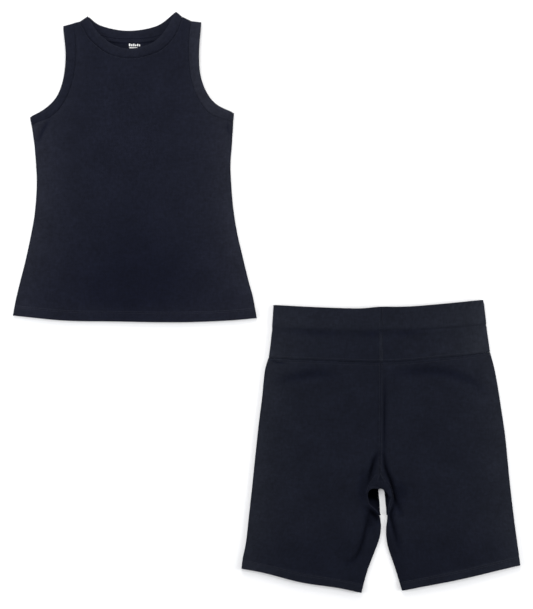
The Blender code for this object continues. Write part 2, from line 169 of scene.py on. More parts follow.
SHORTS_CREASES = [
    ([(-190, 194), (-150, 202), (-118, 207), (-78, 204)], 9.0, 2.6),
    ([(-196, 168), (-176, 178), (-150, 182)], 8.0, 0.8),
    ([(20, 206), (74, 212), (120, 208), (162, 194), (192, 168)], 9.0, 2.5),
    ([(150, 222), (172, 206), (190, 188)], 5.0, 0.9),
    ([(8, 200), (6, 130), (6, 80), (5, 52)], 3.4, 2.2),
    ([(-6, 66), (-13, 50), (-16.5, 38), (-20, 26), (-22.5, 14), (-26, 4)], 4.4, 4.2),
    ([(3, 68), (6.4, 43), (9.6, 32), (14.4, 21), (20, 3), (25, -16), (37, -46)], 4.0, 4.6),
    ([(-7.5, 52), (-8.4, 38), (-10.5, 28)], 1.4, -0.8),
    ([(-199, 231), (-186, 227.5), (-170, 226)], 2.4, 1.4),
    ([(-20, -36), (-23, -50), (-30, -79), (-36, -102), (-47, -125), (-68, -137)], 5.0, 3.6),
    ([(-21, -38), (-14, -50), (-8, -64)], 4.0, 3.0),
    ([(24, -8), (22, -30), (18.5, -48), (25, -74), (34, -112)], 4.4, 3.4),
    ([(36, 14), (43, 0), (46, -18)], 11.0, 2.4),
    ([(-150, -40), (-110, -70), (-90, -110)], 26.0, 1.0),
    ([(100, 60), (130, -10), (120, -80)], 30.0, 1.0),
    ([(-110, 120), (-120, 60), (-108, 0)], 32.0, -0.8),
    ([(110, 150), (104, 90), (90, 40)], 26.0, -0.7),
    ([(-36, -8), (-50, -20), (-58, -40)], 9.0, 0.9),
]
# Painted shade inside the deepest folds: the line, its half width and how much darker.
TANK_PAINTED_SHADE = [
    ([(-150, 353), (-163, 334), (-174, 308)], 4.0, 0.35),
    ([(168, 348), (169, 335), (174, 322)], 3.0, 0.3),
    ([(-120, 60), (-20, 40), (40, 60), (110, 90)], 45.0, 0.09),
]
SHORTS_PAINTED_SHADE = [
    ([(-6, 64), (-13, 50), (-16.5, 38), (-20, 26), (-22.5, 14), (-25.5, 5)], 4.6, 0.62),
    ([(4, 62), (7, 43), (10.6, 31), (15.2, 20), (20.6, 3), (24, -12), (35, -44)], 4.2, 0.68),
    ([(24, 10), (33, -4), (38, -20)], 12.0, 0.36),
    ([(-30, 30), (-33, 0), (-31, -28)], 9.0, 0.26),
    ([(-199, 231), (-186, 227.5), (-172, 226)], 2.2, 0.35),
    ([(-20, -36), (-23, -50), (-30, -79), (-36, -102), (-47, -125), (-62, -135)], 4.0, 0.45),
    ([(-24, -34), (-16, -41), (-9, -48), (-4, -58)], 6.4, 0.82),
    ([(-23, -40), (-20, -54), (-17, -70)], 9.0, 0.4),
    ([(24, -10), (22, -30), (18.5, -48), (24, -74), (31, -104)], 3.6, 0.62),
    ([(6.5, 196), (5.5, 130), (5.5, 60)], 2.6, 0.4),
    ([(-186, 195), (-150, 202), (-118, 207), (-84, 204)], 9.0, 0.26),
    ([(26, 206), (74, 212), (120, 208), (162, 194), (188, 172)], 9.0, 0.24),
]
# Small folds on the gusset; here a plus depth is a ridge's height.
GUSSET_RIDGES = [
    ([(-7, 15), (-5.2, 21), (-2.2, 29)], 1.3, 0.5),
    ([(-2.2, 29), (2, 21), (5, 16), (9, 13.5)], 1.3, 0.6),
    ([(-10, 13), (0, 14.3), (9, 13.8)], 1.2, 0.4),
    ([(-22, 2.5), (-14, 3.8), (-5, 3.4), (3, 2.4)], 1.2, 0.5),
    ([(18.4, -14), (16, -25), (13.4, -36), (12.4, -44)], 1.3, 0.5),
]


class SetSizes(bpy.types.PropertyGroup):
    """Sizes that change how full, creased and stitched the cloth looks."""

    tank_loft: FloatProperty(
        name="Tank loft", description="How far the tank's front lifts off its back, in millimetres",
        default=4.6, min=0.0, max=9.0)
    shorts_loft: FloatProperty(
        name="Shorts loft",
        description="How far the shorts' front lifts above its side folds, in millimetres",
        default=2.6, min=0.0, max=8.0)
    crease_depth: FloatProperty(
        name="Crease depth", description="Scale of every crease's depth", default=1.0, min=0.0, max=2.0)
    pucker: FloatProperty(
        name="Seam pucker", description="Height of the small puckers beside the seams, in millimetres",
        default=0.2, min=0.0, max=0.6)
    grid: FloatProperty(
        name="Sheet spacing", description="Distance between the points of a sheet, in millimetres",
        default=3.2, min=2.6, max=12.0)
    stitch_pitch: FloatProperty(
        name="Stitch pitch", description="Distance from one stitch to the next, in millimetres",
        default=2.9, min=2.0, max=6.0)
    thread: FloatProperty(
        name="Thread width", description="Width of a stitch, in millimetres", default=0.42, min=0.2, max=1.0)


class SetColours(bpy.types.PropertyGroup):
    """Colours of the cloth, the thread, the print and the surface."""

    tank: FloatVectorProperty(
        name="Tank", description="Jersey of the tank", subtype="COLOR", size=3,
        default=(0.0050, 0.0060, 0.0130), min=0.0, max=1.0)
    shorts: FloatVectorProperty(
        name="Shorts", description="Jersey of the shorts", subtype="COLOR", size=3,
        default=(0.0045, 0.0056, 0.0114), min=0.0, max=1.0)
    thread: FloatVectorProperty(
        name="Thread", description="Sewing thread", subtype="COLOR", size=3,
        default=(0.0092, 0.0105, 0.0196), min=0.0, max=1.0)
    mark: FloatVectorProperty(
        name="Neck mark", description="Printed mark inside the back of the neck", subtype="COLOR", size=3,
        default=(0.80, 0.80, 0.80), min=0.0, max=1.0)
    surface: FloatVectorProperty(
        name="Surface", description="What the garments lie on", subtype="COLOR", size=3,
        default=(0.93, 0.93, 0.935), min=0.0, max=1.0)


# ---------------------------------------------------------------- lines and distances

def evenly(line, step):
    """Points at equal lengths along a line, about a step apart, both ends kept."""
    lengths = lengths_along(line)
    count = max(2, int(round(lengths[-1] / step)) + 1)
    stops = np.linspace(0, lengths[-1], count)
    return np.column_stack([np.interp(stops, lengths, column) for column in line.T])


def padded_ends(points):
    """Points as an array, with one more past each end for a Catmull-Rom curve."""
    spots = np.array(points, float)
    return np.vstack([2 * spots[0] - spots[1], spots, 2 * spots[-1] - spots[-2]])


def catmull_rom(before, start, end, after, t):
    """The curve from start to end at t, from 0 to 1."""
    square = 2 * before - 5 * start + 4 * end - after
    cube = 3 * start - before - 3 * end + after
    return (2 * start + (end - before) * t + square * t ** 2 + cube * t ** 3) / 2


def curve(points, step):
    """Evenly spaced points on the Catmull-Rom curve through the given ones."""
    padded = padded_ends(points)
    t = np.linspace(0, 1, 24, endpoint=False)[:, None]
    pieces = [catmull_rom(*four, t) for four in zip(padded, padded[1:], padded[2:], padded[3:])]
    return evenly(np.vstack([*pieces, padded[-2:-1]]), step)


def smooth_columns(points, at):
    """Points of the Catmull-Rom curve at shares of its knots."""
    padded = padded_ends(points)
    spans = len(points) - 1
    place = np.clip(at * spans, 0, spans - 1e-9)
    index = place.astype(int)
    return catmull_rom(*(padded[index + step] for step in range(4)), (place - index)[:, None])


def at_share(line, share):
    """The point at a share of a line's points."""
    place = share * (len(line) - 1)
    return np.array([np.interp(place, np.arange(len(line)), axis) for axis in line.T])


def lengths_along(line):
    """The length passed at each point of a line."""
    return np.r_[0, np.cumsum(np.linalg.norm(np.diff(line, axis=0), axis=1))]


def nearest(points, line):
    """For each point its distance to a line, the length along it and the side, 1 on its left."""
    gap = np.full(len(points), np.inf)
    place = np.zeros(len(points))
    side = np.zeros(len(points))
    passed = 0.0
    for start, end in zip(line, line[1:]):
        along = end - start
        length = np.linalg.norm(along)
        share = np.clip((points - start) @ along / length ** 2, 0, 1)
        off = points - start - share[:, None] * along
        here = np.hypot(off[:, 0], off[:, 1])
        closer = here < gap
        gap[closer] = here[closer]
        place[closer] = passed + share[closer] * length
        side[closer] = np.sign(along[0] * off[closer, 1] - along[1] * off[closer, 0])
        passed += length
    return gap, place, side


def distance(points, *lines):
    """For each point its distance to the nearest of some lines."""
    return np.min([nearest(points, line)[0] for line in lines], axis=0)


def bell(gap, width):
    """1 at no distance, falling smoothly to nothing over a few widths."""
    return np.exp(-(gap / width) ** 2)


def groove(gap, width):
    """1 on a flat bottom, falling to nothing at about the width."""
    return np.exp(-(gap / width) ** 4)


def eased(value):
    """0 to 1 with level ends."""
    value = np.clip(value, 0, 1)
    return value * value * (3 - 2 * value)


def normals_left(line, closed=False):
    """Unit normals to the left of a line of points."""
    if closed:
        along = np.roll(line, -1, axis=0) - np.roll(line, 1, axis=0)
    else:
        along = np.gradient(line, axis=0)
    along /= np.linalg.norm(along, axis=1)[:, None]
    return np.column_stack([-along[:, 1], along[:, 0]])


def shifted(line, offset):
    """A line moved to its left by an offset."""
    return line + normals_left(line) * offset


def inside(points, outline):
    """Which points lie inside a closed outline."""
    crossings = np.zeros(len(points), int)
    for start, end in zip(outline, np.roll(outline, -1, axis=0)):
        if start[1] == end[1]:
            continue
        between = (start[1] > points[:, 1]) != (end[1] > points[:, 1])
        meets = start[0] + (points[:, 1] - start[1]) / (end[1] - start[1]) * (end[0] - start[0])
        crossings += between & (meets > points[:, 0])
    return crossings % 2 == 1


def along_fold(points, line, end_share, power):
    """For each point its distance to a fold's line and the fold's strength there, least at its ends."""
    path = curve(line, 4.0)
    gap, place, _ = nearest(points, path)
    share = np.clip(place / lengths_along(path)[-1], end_share, 1 - end_share)
    return gap, np.sin(np.pi * share) ** power


def creased(points, creases):
    """Height that a list of creases adds: each a trough with a soft ridge on both sides."""
    height = np.zeros(len(points))
    for line, width, depth in creases:
        gap, strength = along_fold(points, line, 0.02, 0.6)
        height -= depth * strength * (bell(gap, width) - 0.4 * bell(gap - 2.0 * width, 1.1 * width))
    return height


def painted_fold_shade(points, depths):
    """How much painted shade darkens the cloth inside its deepest folds, from 0 to 1."""
    left = np.ones(len(points))
    for line, width, amount in depths:
        gap, strength = along_fold(points, line, 0.04, 0.5)
        left *= 1 - amount * strength * bell(gap, width)
    return 1 - left


def with_painted_shade(open_cloth, deep, fold):
    """Painted highlight of open cloth, with painted shade in its deep folds and just at the outer fold."""
    deep = 1 - (1 - deep) * (1 - 0.2 * bell(fold, 2.0))
    return open_cloth * (1 - deep) - deep


def swell(points, phase):
    """Broad, faint unevenness of cloth that isn't pressed dead flat."""
    x, y = points[:, 0], points[:, 1]
    broad = np.sin(x / 31 + phase) * np.sin(y / 43 + 2 * phase)
    slanted = np.sin((x + 0.6 * y) / 23 + 3 * phase) * np.sin((y - 0.4 * x) / 37 + phase)
    small = np.sin((x - 0.3 * y) / 9.5 + phase) * np.sin((y + 0.5 * x) / 12.5 + 2 * phase)
    return 0.42 * broad + 0.26 * slanted + 0.05 * small


def puckered(gap, place, height, reach, phase):
    """Small ripples square to a seam that die away from it."""
    ripples = np.sin(place * 0.57 + phase) + 0.7 * np.sin(place * 0.37 + 2.1 * phase)
    return height * ripples * np.exp(-gap / reach)


# ---------------------------------------------------------------- cloth objects

def place_of(node, corner):
    """A garment's origin in millimetres, from the CAD box of one of its nodes."""
    low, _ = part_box(node)
    return np.array([low[0] / MM - corner[0], low[1] / MM - corner[1], 0.0])


TANK_AT = place_of("tank_front", TANK_CORNER)
SHORTS_AT = place_of("shorts_waistband", SHORTS_CORNER)


def settings():
    """The sizes and the colours that the scene holds."""
    return bpy.context.scene.set_sizes, bpy.context.scene.set_colours


def new_piece(name, points, faces, finish, smooth=True):
    """An object of the set from points in metres and faces."""
    data = bpy.data.meshes.new(name)
    data.from_pydata(points.tolist(), [], faces)
    data.polygons.foreach_set("use_smooth", [smooth] * len(data.polygons))
    data.materials.append(finish)
    piece = bpy.data.objects.new(name, data)
    bpy.context.scene.collection.objects.link(piece)
    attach(piece, "root")
    return piece


def cloth(name, points, faces, at, wall, weave, painted_shading, finish, edge_round=0.34):
    """An object from a sheet of points, with its wall thickness and its rounded cut edges.

    The wall is one thickness or one for each point. Weave is each point's place along the knit, and the
    next argument is the painted highlight at each point, or painted shade where it is below zero.
    """
    piece = new_piece(name, (points + at) * MM, faces, finish)
    data = piece.data
    weave_layer = data.attributes.new("weave", "FLOAT_VECTOR", "POINT")
    flat = np.zeros((len(points), 3))
    flat[:, :2] = weave
    weave_layer.data.foreach_set("vector", flat.ravel())
    # The mesh carries its painted highlight and painted shade for the material to read.
    painted_shading_layer = data.attributes.new("painted_shading", "FLOAT", "POINT")
    painted_shading_layer.data.foreach_set("value", np.asarray(painted_shading, float))
    walls = np.broadcast_to(np.asarray(wall, float), (len(points),))
    thickest = float(walls.max())
    shell = piece.modifiers.new("wall", "SOLIDIFY")
    shell.thickness = thickest * MM
    shell.offset = 0.0
    shell.use_even_offset = True
    if walls.min() < thickest:
        group = piece.vertex_groups.new(name="wall")
        for share in np.unique(np.round(walls / thickest, 3)):
            members = np.flatnonzero(np.round(walls / thickest, 3) == share)
            group.add(members.tolist(), float(share), "REPLACE")
        shell.vertex_group = "wall"
    rounding = piece.modifiers.new("rounded edges", "BEVEL")
    rounding.width = float(walls.min()) * edge_round * MM
    rounding.segments = 3
    rounding.limit_method = "ANGLE"
    rounding.angle_limit = np.radians(55)
    return piece


def filled(outline, rings, guides, spacing):
    """Points and triangles that fill a closed outline.

    Rings are finer rows inside the outline, and guides are lines that get points of their own.
    """
    fine = evenly(np.vstack([outline, outline[:1]]), 0.8)
    edge_tree = KDTree(len(fine))
    for index, (x, y) in enumerate(fine):
        edge_tree.insert((x, y, 0), index)
    edge_tree.balance()
    inward = normals_left(outline, closed=True)
    low = outline.min(axis=0)
    high = outline.max(axis=0)
    columns = np.arange(low[0], high[0] + spacing, spacing)
    rows = np.arange(low[1], high[1], spacing * np.sqrt(3) / 2)
    honeycomb = np.array([(x + row % 2 * spacing / 2, y) for row, y in enumerate(rows) for x in columns])
    layers = [(outline + inward * distance, distance * 0.93, 0.35) for distance in rings]
    layers += [(guide, 0.5, 0.45) for guide in guides]
    layers.append((honeycomb, rings[-1] + 0.55 * spacing, 0.6 * spacing))
    kept = [tuple(point) for point in outline]
    for candidates, from_edge, apart in layers:
        candidates = candidates[inside(candidates, outline)]
        candidates = [point for point in candidates if edge_tree.find((*point, 0))[2] >= from_edge]
        tree = KDTree(len(kept))
        for index, (x, y) in enumerate(kept):
            tree.insert((x, y, 0), index)
        tree.balance()
        kept += [tuple(point) for point in candidates if tree.find((*point, 0))[2] >= apart]
    around = [(index, (index + 1) % len(outline)) for index in range(len(outline))]
    spots = [Vector(point) for point in kept]
    flat, _, triangles, *_ = delaunay_2d_cdt(spots, around, [], 1, 1e-4)
    used = sorted({index for triangle in triangles for index in triangle})
    renumber = {old: new for new, old in enumerate(used)}
    faces = [tuple(renumber[index] for index in triangle) for triangle in triangles]
    return np.array([tuple(flat[index]) for index in used]), faces


def grid_weave(first, second):
    """Places along the knit for a grid of points, from its two coordinates."""
    return np.stack(np.broadcast_arrays(first, second), axis=2).reshape(-1, 2)


def grid_faces(rows, columns, ring=False):
    """Quads of a grid of points, the last row joined to the first in a ring."""
    faces = []
    for row in range(rows if ring else rows - 1):
        following = (row + 1) % rows
        for column in range(columns - 1):
            faces.append((row * columns + column, row * columns + column + 1,
                          following * columns + column + 1, following * columns + column))
    return faces


def fine_stops(length, spacing, near_start=(), near_end=(), extra=()):
    """Places from 0 to a length, closer together near its ends and at the extra places."""
    stops = [0.0, length, *near_start, *[length - stop for stop in near_end], *extra]
    first = max([0.0, *near_start])
    last = length - max([0.0, *near_end])
    count = max(1, int(round((last - first) / spacing)))
    between = [first + (last - first) * step / count for step in range(count + 1)]
    taken = np.array(stops)
    stops += [stop for stop in between if np.abs(taken - stop).min() > 0.45 * spacing]
    return np.array(sorted(set(np.round(stops, 4))))


# Finer rows of points: in from an edge, across a row of stitches and round a fold.
NEAR_EDGE = (0.5, 1.1, 1.9, 3.0, 4.6)
ACROSS_ROW = (-1.4, -0.7, 0.0, 0.7, 1.4)
HALF_TURN = np.linspace(np.pi / 2, -np.pi / 2, 9)
TURN_POINTS = len(HALF_TURN) - 2


def half_turn(spots, away, upper, lower, wall):
    """Points of a half turn from an upper to a lower layer whose outside reaches each spot."""
    radius = (upper - lower) / 2
    rows = []
    for angle in HALF_TURN:
        reach = radius * np.cos(angle) - radius - wall / 2
        flat = spots + away * np.reshape(reach, (-1, 1))
        rows.append(np.column_stack([flat, lower + radius + radius * np.sin(angle)]))
    return rows


def folded_row(flat, upper, lower, away, wall):
    """A row of points along an upper layer, round the fold past its end and back along a lower one."""
    outside = flat[-1:] + away * ((upper[-1] - lower[-1]) / 2 + wall / 2)
    turn = half_turn(outside, away, upper[-1:], lower[-1:], wall)[1:-1]
    return np.vstack([np.column_stack([flat, upper]), *turn, np.column_stack([flat, lower])[::-1]])


# ---------------------------------------------------------------- tank top shapes

# Lengths here are in millimetres, and a row of stitches is as far as it says from its edge or seam.
# Walls of one ply, a doubled hem, a folded binding and a taped neck.
JERSEY = 1.1
HEM_PLY = 2.0
BINDING = 2.1
NECK_TAPE = 1.9
TAPE_DEPTH = 7.8
# How soon a hem gets thicker, and the room that a panel leaves at its seams.
HEM_STEP = 1.2
SEAM_ROOM = 0.06
TANK_HEM_ROWS = (15.4, 18.4)
TOPSTITCH = 2.6
# Height of the middle of the closed front at its side folds, and how far in the painted highlight along them
# reaches.
FRONT_BASE = 1.2 + JERSEY / 2
TANK_FOLD_REACH = 34.0

LINES = {
    "hem": curve(HEM, 6.0),
    "side_left": curve(SIDE_LEFT, 6.0),
    "side_right": curve(SIDE_RIGHT, 6.0),
    "neck_front": curve(NECK_SEAM["front"], 4.0),
    "neck_back": curve(NECK_SEAM["back"], 4.0),
    "arm_left": curve(ARM_SEAM["left"], 4.0),
    "arm_right": curve(ARM_SEAM["right"], 4.0),
}


def hem_wall(above, single, double, rows):
    """Wall of a panel that is doubled below its hem's stitch rows."""
    return single + (double - single) * eased((rows[1] + HEM_STEP - above) / (2 * HEM_STEP))


def row_dents(above, rows):
    """1 along each row of stitches, falling to nothing beside it."""
    return sum(bell(above - row, 0.8) for row in rows)


def tank_side(points):
    """For each point its distance to the nearer side fold."""
    return distance(points, LINES["side_left"], LINES["side_right"])


def tank_loft(points, sizes):
    """Height of the middle of the tank's front, without its seams and creases."""
    side = tank_side(points)
    shoulders = [np.array([NECK_SEAM["front"][0], ARM_SEAM["left"][0]], float),
                 np.array([ARM_SEAM["right"][0], NECK_SEAM["front"][-1]], float)]
    top = distance(points, *shoulders)
    above = distance(points, LINES["hem"])
    rise = 0.62 * (1 - np.exp(-np.minimum(side, 3 * top) / 12)) + 0.38 * (1 - bell(side, 60))
    return FRONT_BASE + sizes.tank_loft * rise * (1 - 0.42 * np.exp(-above / 40)), side


def tank_front_height(points, sizes):
    """Height of the middle of the tank's front, and its wall."""
    height, side = tank_loft(points, sizes)
    open_cloth = eased(side / 45)
    height = height + 0.8 * swell(points, 0.7) * open_cloth
    height += sizes.crease_depth * creased(points, TANK_CREASES)
    above, along_hem, _ = nearest(points, LINES["hem"])
    wall = hem_wall(above, JERSEY, HEM_PLY, TANK_HEM_ROWS)
    height += (wall - JERSEY) * 1.5 - 0.42 * row_dents(above, TANK_HEM_ROWS)
    height += 0.25 * bell(above - 8, 6) * np.sin(along_hem / 8.5) * np.sin(along_hem / 31 + 1)
    for seam, phase in (("arm_left", 0.4), ("arm_right", 2.2), ("neck_front", 4.1)):
        gap, place, _ = nearest(points, LINES[seam])
        height -= 0.95 * groove(gap, 1.7) * open_cloth + 0.3 * bell(gap - TOPSTITCH, 0.7)
        height += puckered(gap, place, sizes.pucker, 8.0, phase)
    closed = FRONT_BASE - 0.15 + (wall - JERSEY) * 1.5
    roll = np.sqrt(1 - (1 - np.clip(side / 3.4, 0, 1)) ** 2)
    height = closed + (height - closed) * roll
    return np.maximum(height, 1.5 * wall + 0.12), wall


def tank_back_height(points, sizes):
    """Height of the middle of the tank's back, which lies on the surface, and its wall."""
    above = distance(points, LINES["hem"])
    wall = hem_wall(above, JERSEY, HEM_PLY, TANK_HEM_ROWS)
    below_neck = distance(points, LINES["neck_back"])
    taped = eased((TAPE_DEPTH - below_neck) / 1.2) * eased((below_neck - 0.3) / 0.9)
    wall = wall + (NECK_TAPE - JERSEY) * taped
    height = wall / 2 + 0.12 * bell(tank_side(points), 1.6) + 0.22 * row_dents(above, TANK_HEM_ROWS)
    for seam in ("arm_left", "arm_right", "neck_back"):
        gap = distance(points, LINES[seam])
        height += 0.2 * groove(gap, 1.2) + 0.22 * bell(gap - TOPSTITCH, 0.7)
    return height, wall


def tank_outline(neck, spacing):
    """Closed outline of a tank panel, counter-clockwise from the hem's left end."""
    runs = [curve(HEM, spacing), curve(SIDE_RIGHT, spacing), curve(ARM_SEAM["right"], spacing)[::-1],
            curve(NECK_SEAM[neck], spacing)[::-1], curve(ARM_SEAM["left"], spacing),
            curve(SIDE_LEFT, spacing)]
    outline = np.vstack(runs)
    apart = np.linalg.norm(np.roll(outline, -1, axis=0) - outline, axis=1)
    outline = outline[apart > 0.5]
    return outline + SEAM_ROOM * normals_left(outline, closed=True)


def tank_painted_shading(points):
    """Painted highlight on the tank's jersey: most along its side folds, right more than left, also at the
    armholes and the hem, less low down and in the middle; painted shade in its deep folds.
    """
    left = distance(points, LINES["side_left"])
    right = distance(points, LINES["side_right"])
    arms = distance(points, LINES["arm_left"], LINES["arm_right"])
    low = eased((120 - points[:, 1]) / 160)
    middle = bell(np.hypot(points[:, 0] / 105, (points[:, 1] - 70) / 120), 1.0)
    edges = 0.66 * np.exp(-left / TANK_FOLD_REACH) + 0.7 * np.exp(-right / TANK_FOLD_REACH)
    edges *= 1 - 0.55 * low
    open_cloth = 0.2 + edges - 0.2 * middle + 0.16 * np.exp(-arms / 14)
    hem = distance(points, LINES["hem"])
    open_cloth += 0.09 * eased((40 - hem) / 20) + 0.05 * eased((TANK_HEM_ROWS[1] + 1 - hem) / 2)
    return with_painted_shade(open_cloth, painted_fold_shade(points, TANK_PAINTED_SHADE), np.minimum(left, right))


def tank_panel(name, neck, height_of, finish, sizes):
    """Front or back of the tank as one fine sheet."""
    guides = []
    if neck == "back":
        edge = curve(NECK_SEAM["back"], sizes.grid)
        guides = [shifted(edge, step - TAPE_DEPTH) for step in (1.2, 0.6, 0.0)]
    hem = curve(HEM, sizes.grid)
    guides += [shifted(hem, row + step) for row in TANK_HEM_ROWS for step in ACROSS_ROW]
    for seam in (ARM_SEAM["left"], ARM_SEAM["right"], NECK_SEAM[neck]):
        line = curve(seam, sizes.grid)
        guides += [shifted(line, side * (TOPSTITCH + step)) for step in (-0.6, 0.0, 0.6, 1.3)
                   for side in (-1, 1)]
    flat, faces = filled(tank_outline(neck, sizes.grid), NEAR_EDGE, guides, sizes.grid)
    height, wall = height_of(flat, sizes)
    points = np.column_stack([flat, height])
    painted_shading = tank_painted_shading(flat)
    if neck == "back":
        below_neck = distance(flat, LINES["neck_back"])
        # Painted highlight on the back neck tape and painted shade along the neck seam and below the tape.
        painted_shading += 0.12 * eased((8 - below_neck) / 1.2) - 0.5 * bell(below_neck, 1.3)
        painted_shading -= 0.35 * bell(below_neck - 8, 1.2)
    return cloth(name, points, faces, TANK_AT, wall, flat, painted_shading, finish)


# Shares of a binding's width from its seam to its free edge, and how wide a binding is.
BAND_STOPS = np.array([0, 0.03, 0.08, 0.16, 0.3, 0.44, 0.56, 0.7, 0.84, 0.92, 0.97, 1.0])
BAND_WIDTH = 17
# Height of a binding's upper layer where it folds over at the shoulder, and how far the neck
# binding's fold stays clear of the panels there.
FOLD_LEVEL = 3.5
SHOULDER_CLEAR = 1.3
NECK_DENT = [([(-6, 481), (-2, 472), (2, 463)], 2.2, 0.9)]


def band_profile(stops, width):
    """Soft crown of a folded binding that sinks at its seam and rounds off at its free edge."""
    crown = 0.6 * (1 - (2 * stops - 1) ** 4)
    return crown - 0.8 * groove(stops * width, 1.3)


def band_side(seam, edge, level, lift):
    """Rows of points across one side of a band, at the given level of its middle."""
    width = np.linalg.norm(edge - seam, axis=1).mean()
    across = seam[:, None, :] + (edge - seam)[:, None, :] * BAND_STOPS[None, :, None]
    height = level[:, None] + lift * band_profile(BAND_STOPS, width)[None, :]
    return np.concatenate([across, height[:, :, None]], axis=2)


def binding(name, front, back, finish, sizes, phase):
    """A binding sewn in a ring: its front, the fold at one end, its back and the other fold."""
    count = len(evenly(curve(front[0], 1.0), 2.6))
    sides = []
    for seam_points, edge_points in (front, back):
        seam = curve(seam_points, 1.0)
        edge = curve(edge_points, 1.0)
        spots = [np.column_stack([np.interp(np.linspace(0, 1, count), np.linspace(0, 1, len(line)), axis)
                                  for axis in line.T]) for line in (seam, edge)]
        reach = (spots[1] - spots[0]) / np.linalg.norm(spots[1] - spots[0], axis=1)[:, None]
        spots[0] += SEAM_ROOM * reach
        sides.append(spots)
    seam, edge = sides[0]
    level = np.maximum(tank_loft(seam, sizes)[0] + 0.35, FOLD_LEVEL)
    place = lengths_along(seam)
    ends = np.minimum(place, place[-1] - place)
    level = FOLD_LEVEL + (level - FOLD_LEVEL) * (1 - np.exp(-ends / 10))
    upper = band_side(seam, edge, level, 1.0)
    ripple = puckered(BAND_STOPS * BAND_WIDTH, place[:, None], 0.7 * sizes.pucker, 9.0, phase)
    upper[:, :, 2] += ripple * eased(ends / 12)[:, None]
    if name == "tank_neck_binding":
        dent = creased(upper[:, :, :2].reshape(-1, 2), NECK_DENT)
        upper[:, :, 2] += dent.reshape(upper.shape[:2])
    back_level = np.full(count, BINDING / 2)
    lower = band_side(*sides[1], back_level, 0.0)
    keep = slice(2, -2)
    folds = []
    for end, other in ((-1, -2), (0, 1)):
        across = edge[end] - seam[end]
        across /= np.linalg.norm(across)
        away = np.array([-across[1], across[0]])
        away *= np.sign(away @ (seam[end] - seam[other]))
        spots = seam[end] + (edge[end] - seam[end]) * BAND_STOPS[:, None]
        fold = half_turn(spots, away, np.full(len(spots), FOLD_LEVEL),
                         np.full(len(spots), BINDING / 2), BINDING)
        for angle, row in zip(HALF_TURN, fold):
            clear = SHOULDER_CLEAR * (1 - np.sin(angle)) / 2 * (name == "tank_neck_binding")
            row[:, :2] += across * (clear * (1 - BAND_STOPS))[:, None]
        folds.append(fold)
    sections = [*upper[keep], *folds[0], *lower[keep][::-1], *folds[1][::-1]]
    points = np.array(sections)
    rows, columns, _ = points.shape
    travelled = lengths_along(points[:, columns // 2, :])
    weave = grid_weave(BAND_STOPS[None, :] * BAND_WIDTH, travelled[:, None])
    flat = points[:, :, :2].reshape(-1, 2)
    # Painted highlight, stronger towards the band's free edge and on the right of the set.
    right_highlight = eased((flat[:, 0] - 60) / 60)
    painted_shading = 0.28 + 0.26 * np.tile(BAND_STOPS, rows) ** 3 + 0.56 * right_highlight
    return cloth(name, points.reshape(-1, 3), grid_faces(rows, columns, ring=True), TANK_AT,
                 BINDING, weave, painted_shading, finish, edge_round=0.42)


# ---------------------------------------------------------------- shorts shapes

# Walls of a leg's ply, its doubled hem and the waistband.
LEG_JERSEY = 1.3
LEG_HEM_PLY = 2.3
BAND_PLY = 2.6
# Height of the middle of the front at the side folds, rows of stitches off the hem and off the waist
# seam, below and above it, how many columns of points a leg's front has, and how far down its rows
# still follow the waist seam.
FOLD_TOP = 5.2
LEG_HEM_ROWS = (12.6, 15.4)
WAIST_TOPSTITCH = 6.0
BAND_TOPSTITCH = 3.8
LEG_COLUMNS = 66
WAIST_BLEND = 30
# How far in the painted highlight at the side folds reaches.
LEG_FOLD_REACH = 40.0
BAND_FOLD_REACH = 46.0
# The front seam of the legs: where it is across, where its covered part ends above the gusset and
# how far off its rows of stitches lie.
CENTRE_X = -1
CENTRE_FOOT = 28
CENTRE_SEAM = 2.3
# The waistband: its height, half its width, how far down its elastic goes, its front seam's share of
# the way across, half the gap in that seam and the rows beside it, and how far the waistband's ends
# are set in and bow out.
BAND_HEIGHT = 96.0
HALF_WAIST = 190.0
CHANNEL = 42.0
FRONT_SEAM_SHARE = 192.0 / 374.0
FRONT_SEAM_GAP = 0.0004
FRONT_SEAM_ROW = 2.6
BAND_INSET = 3.4
BAND_BOW = 1.2
# The gusset: how many ribs it has and how softly the arch under the crotch begins.
GUSSET_RIBS = 150
ARCH_SOFTNESS = 2.4
SHORTS_LINES = {
    "fold_left": curve(LEG_FOLD["left"], 6.0),
    "fold_right": curve(LEG_FOLD["right"], 6.0),
    "inner_left": curve(LEG_INNER["left"], 2.0),
    "inner_right": curve(LEG_INNER["right"], 2.0),
    "waist": curve(WAIST_SEAM, 6.0),
}


def inseam(side):
    """The part of a leg's inner edge below the gusset."""
    line = SHORTS_LINES["inner_" + side]
    return line[line[:, 1] <= INSEAM_START[side] + 2]


def leg_hem(side):
    """The two ends of a leg's hem."""
    return np.array([LEG_INNER[side][-1], LEG_FOLD[side][-1]], float)


def centre_seam(points):
    """For each point its distance to the front seam, and 1 where that seam is, 0 below it."""
    return np.abs(points[:, 0] - CENTRE_X), eased((points[:, 1] - CENTRE_FOOT) / 8)


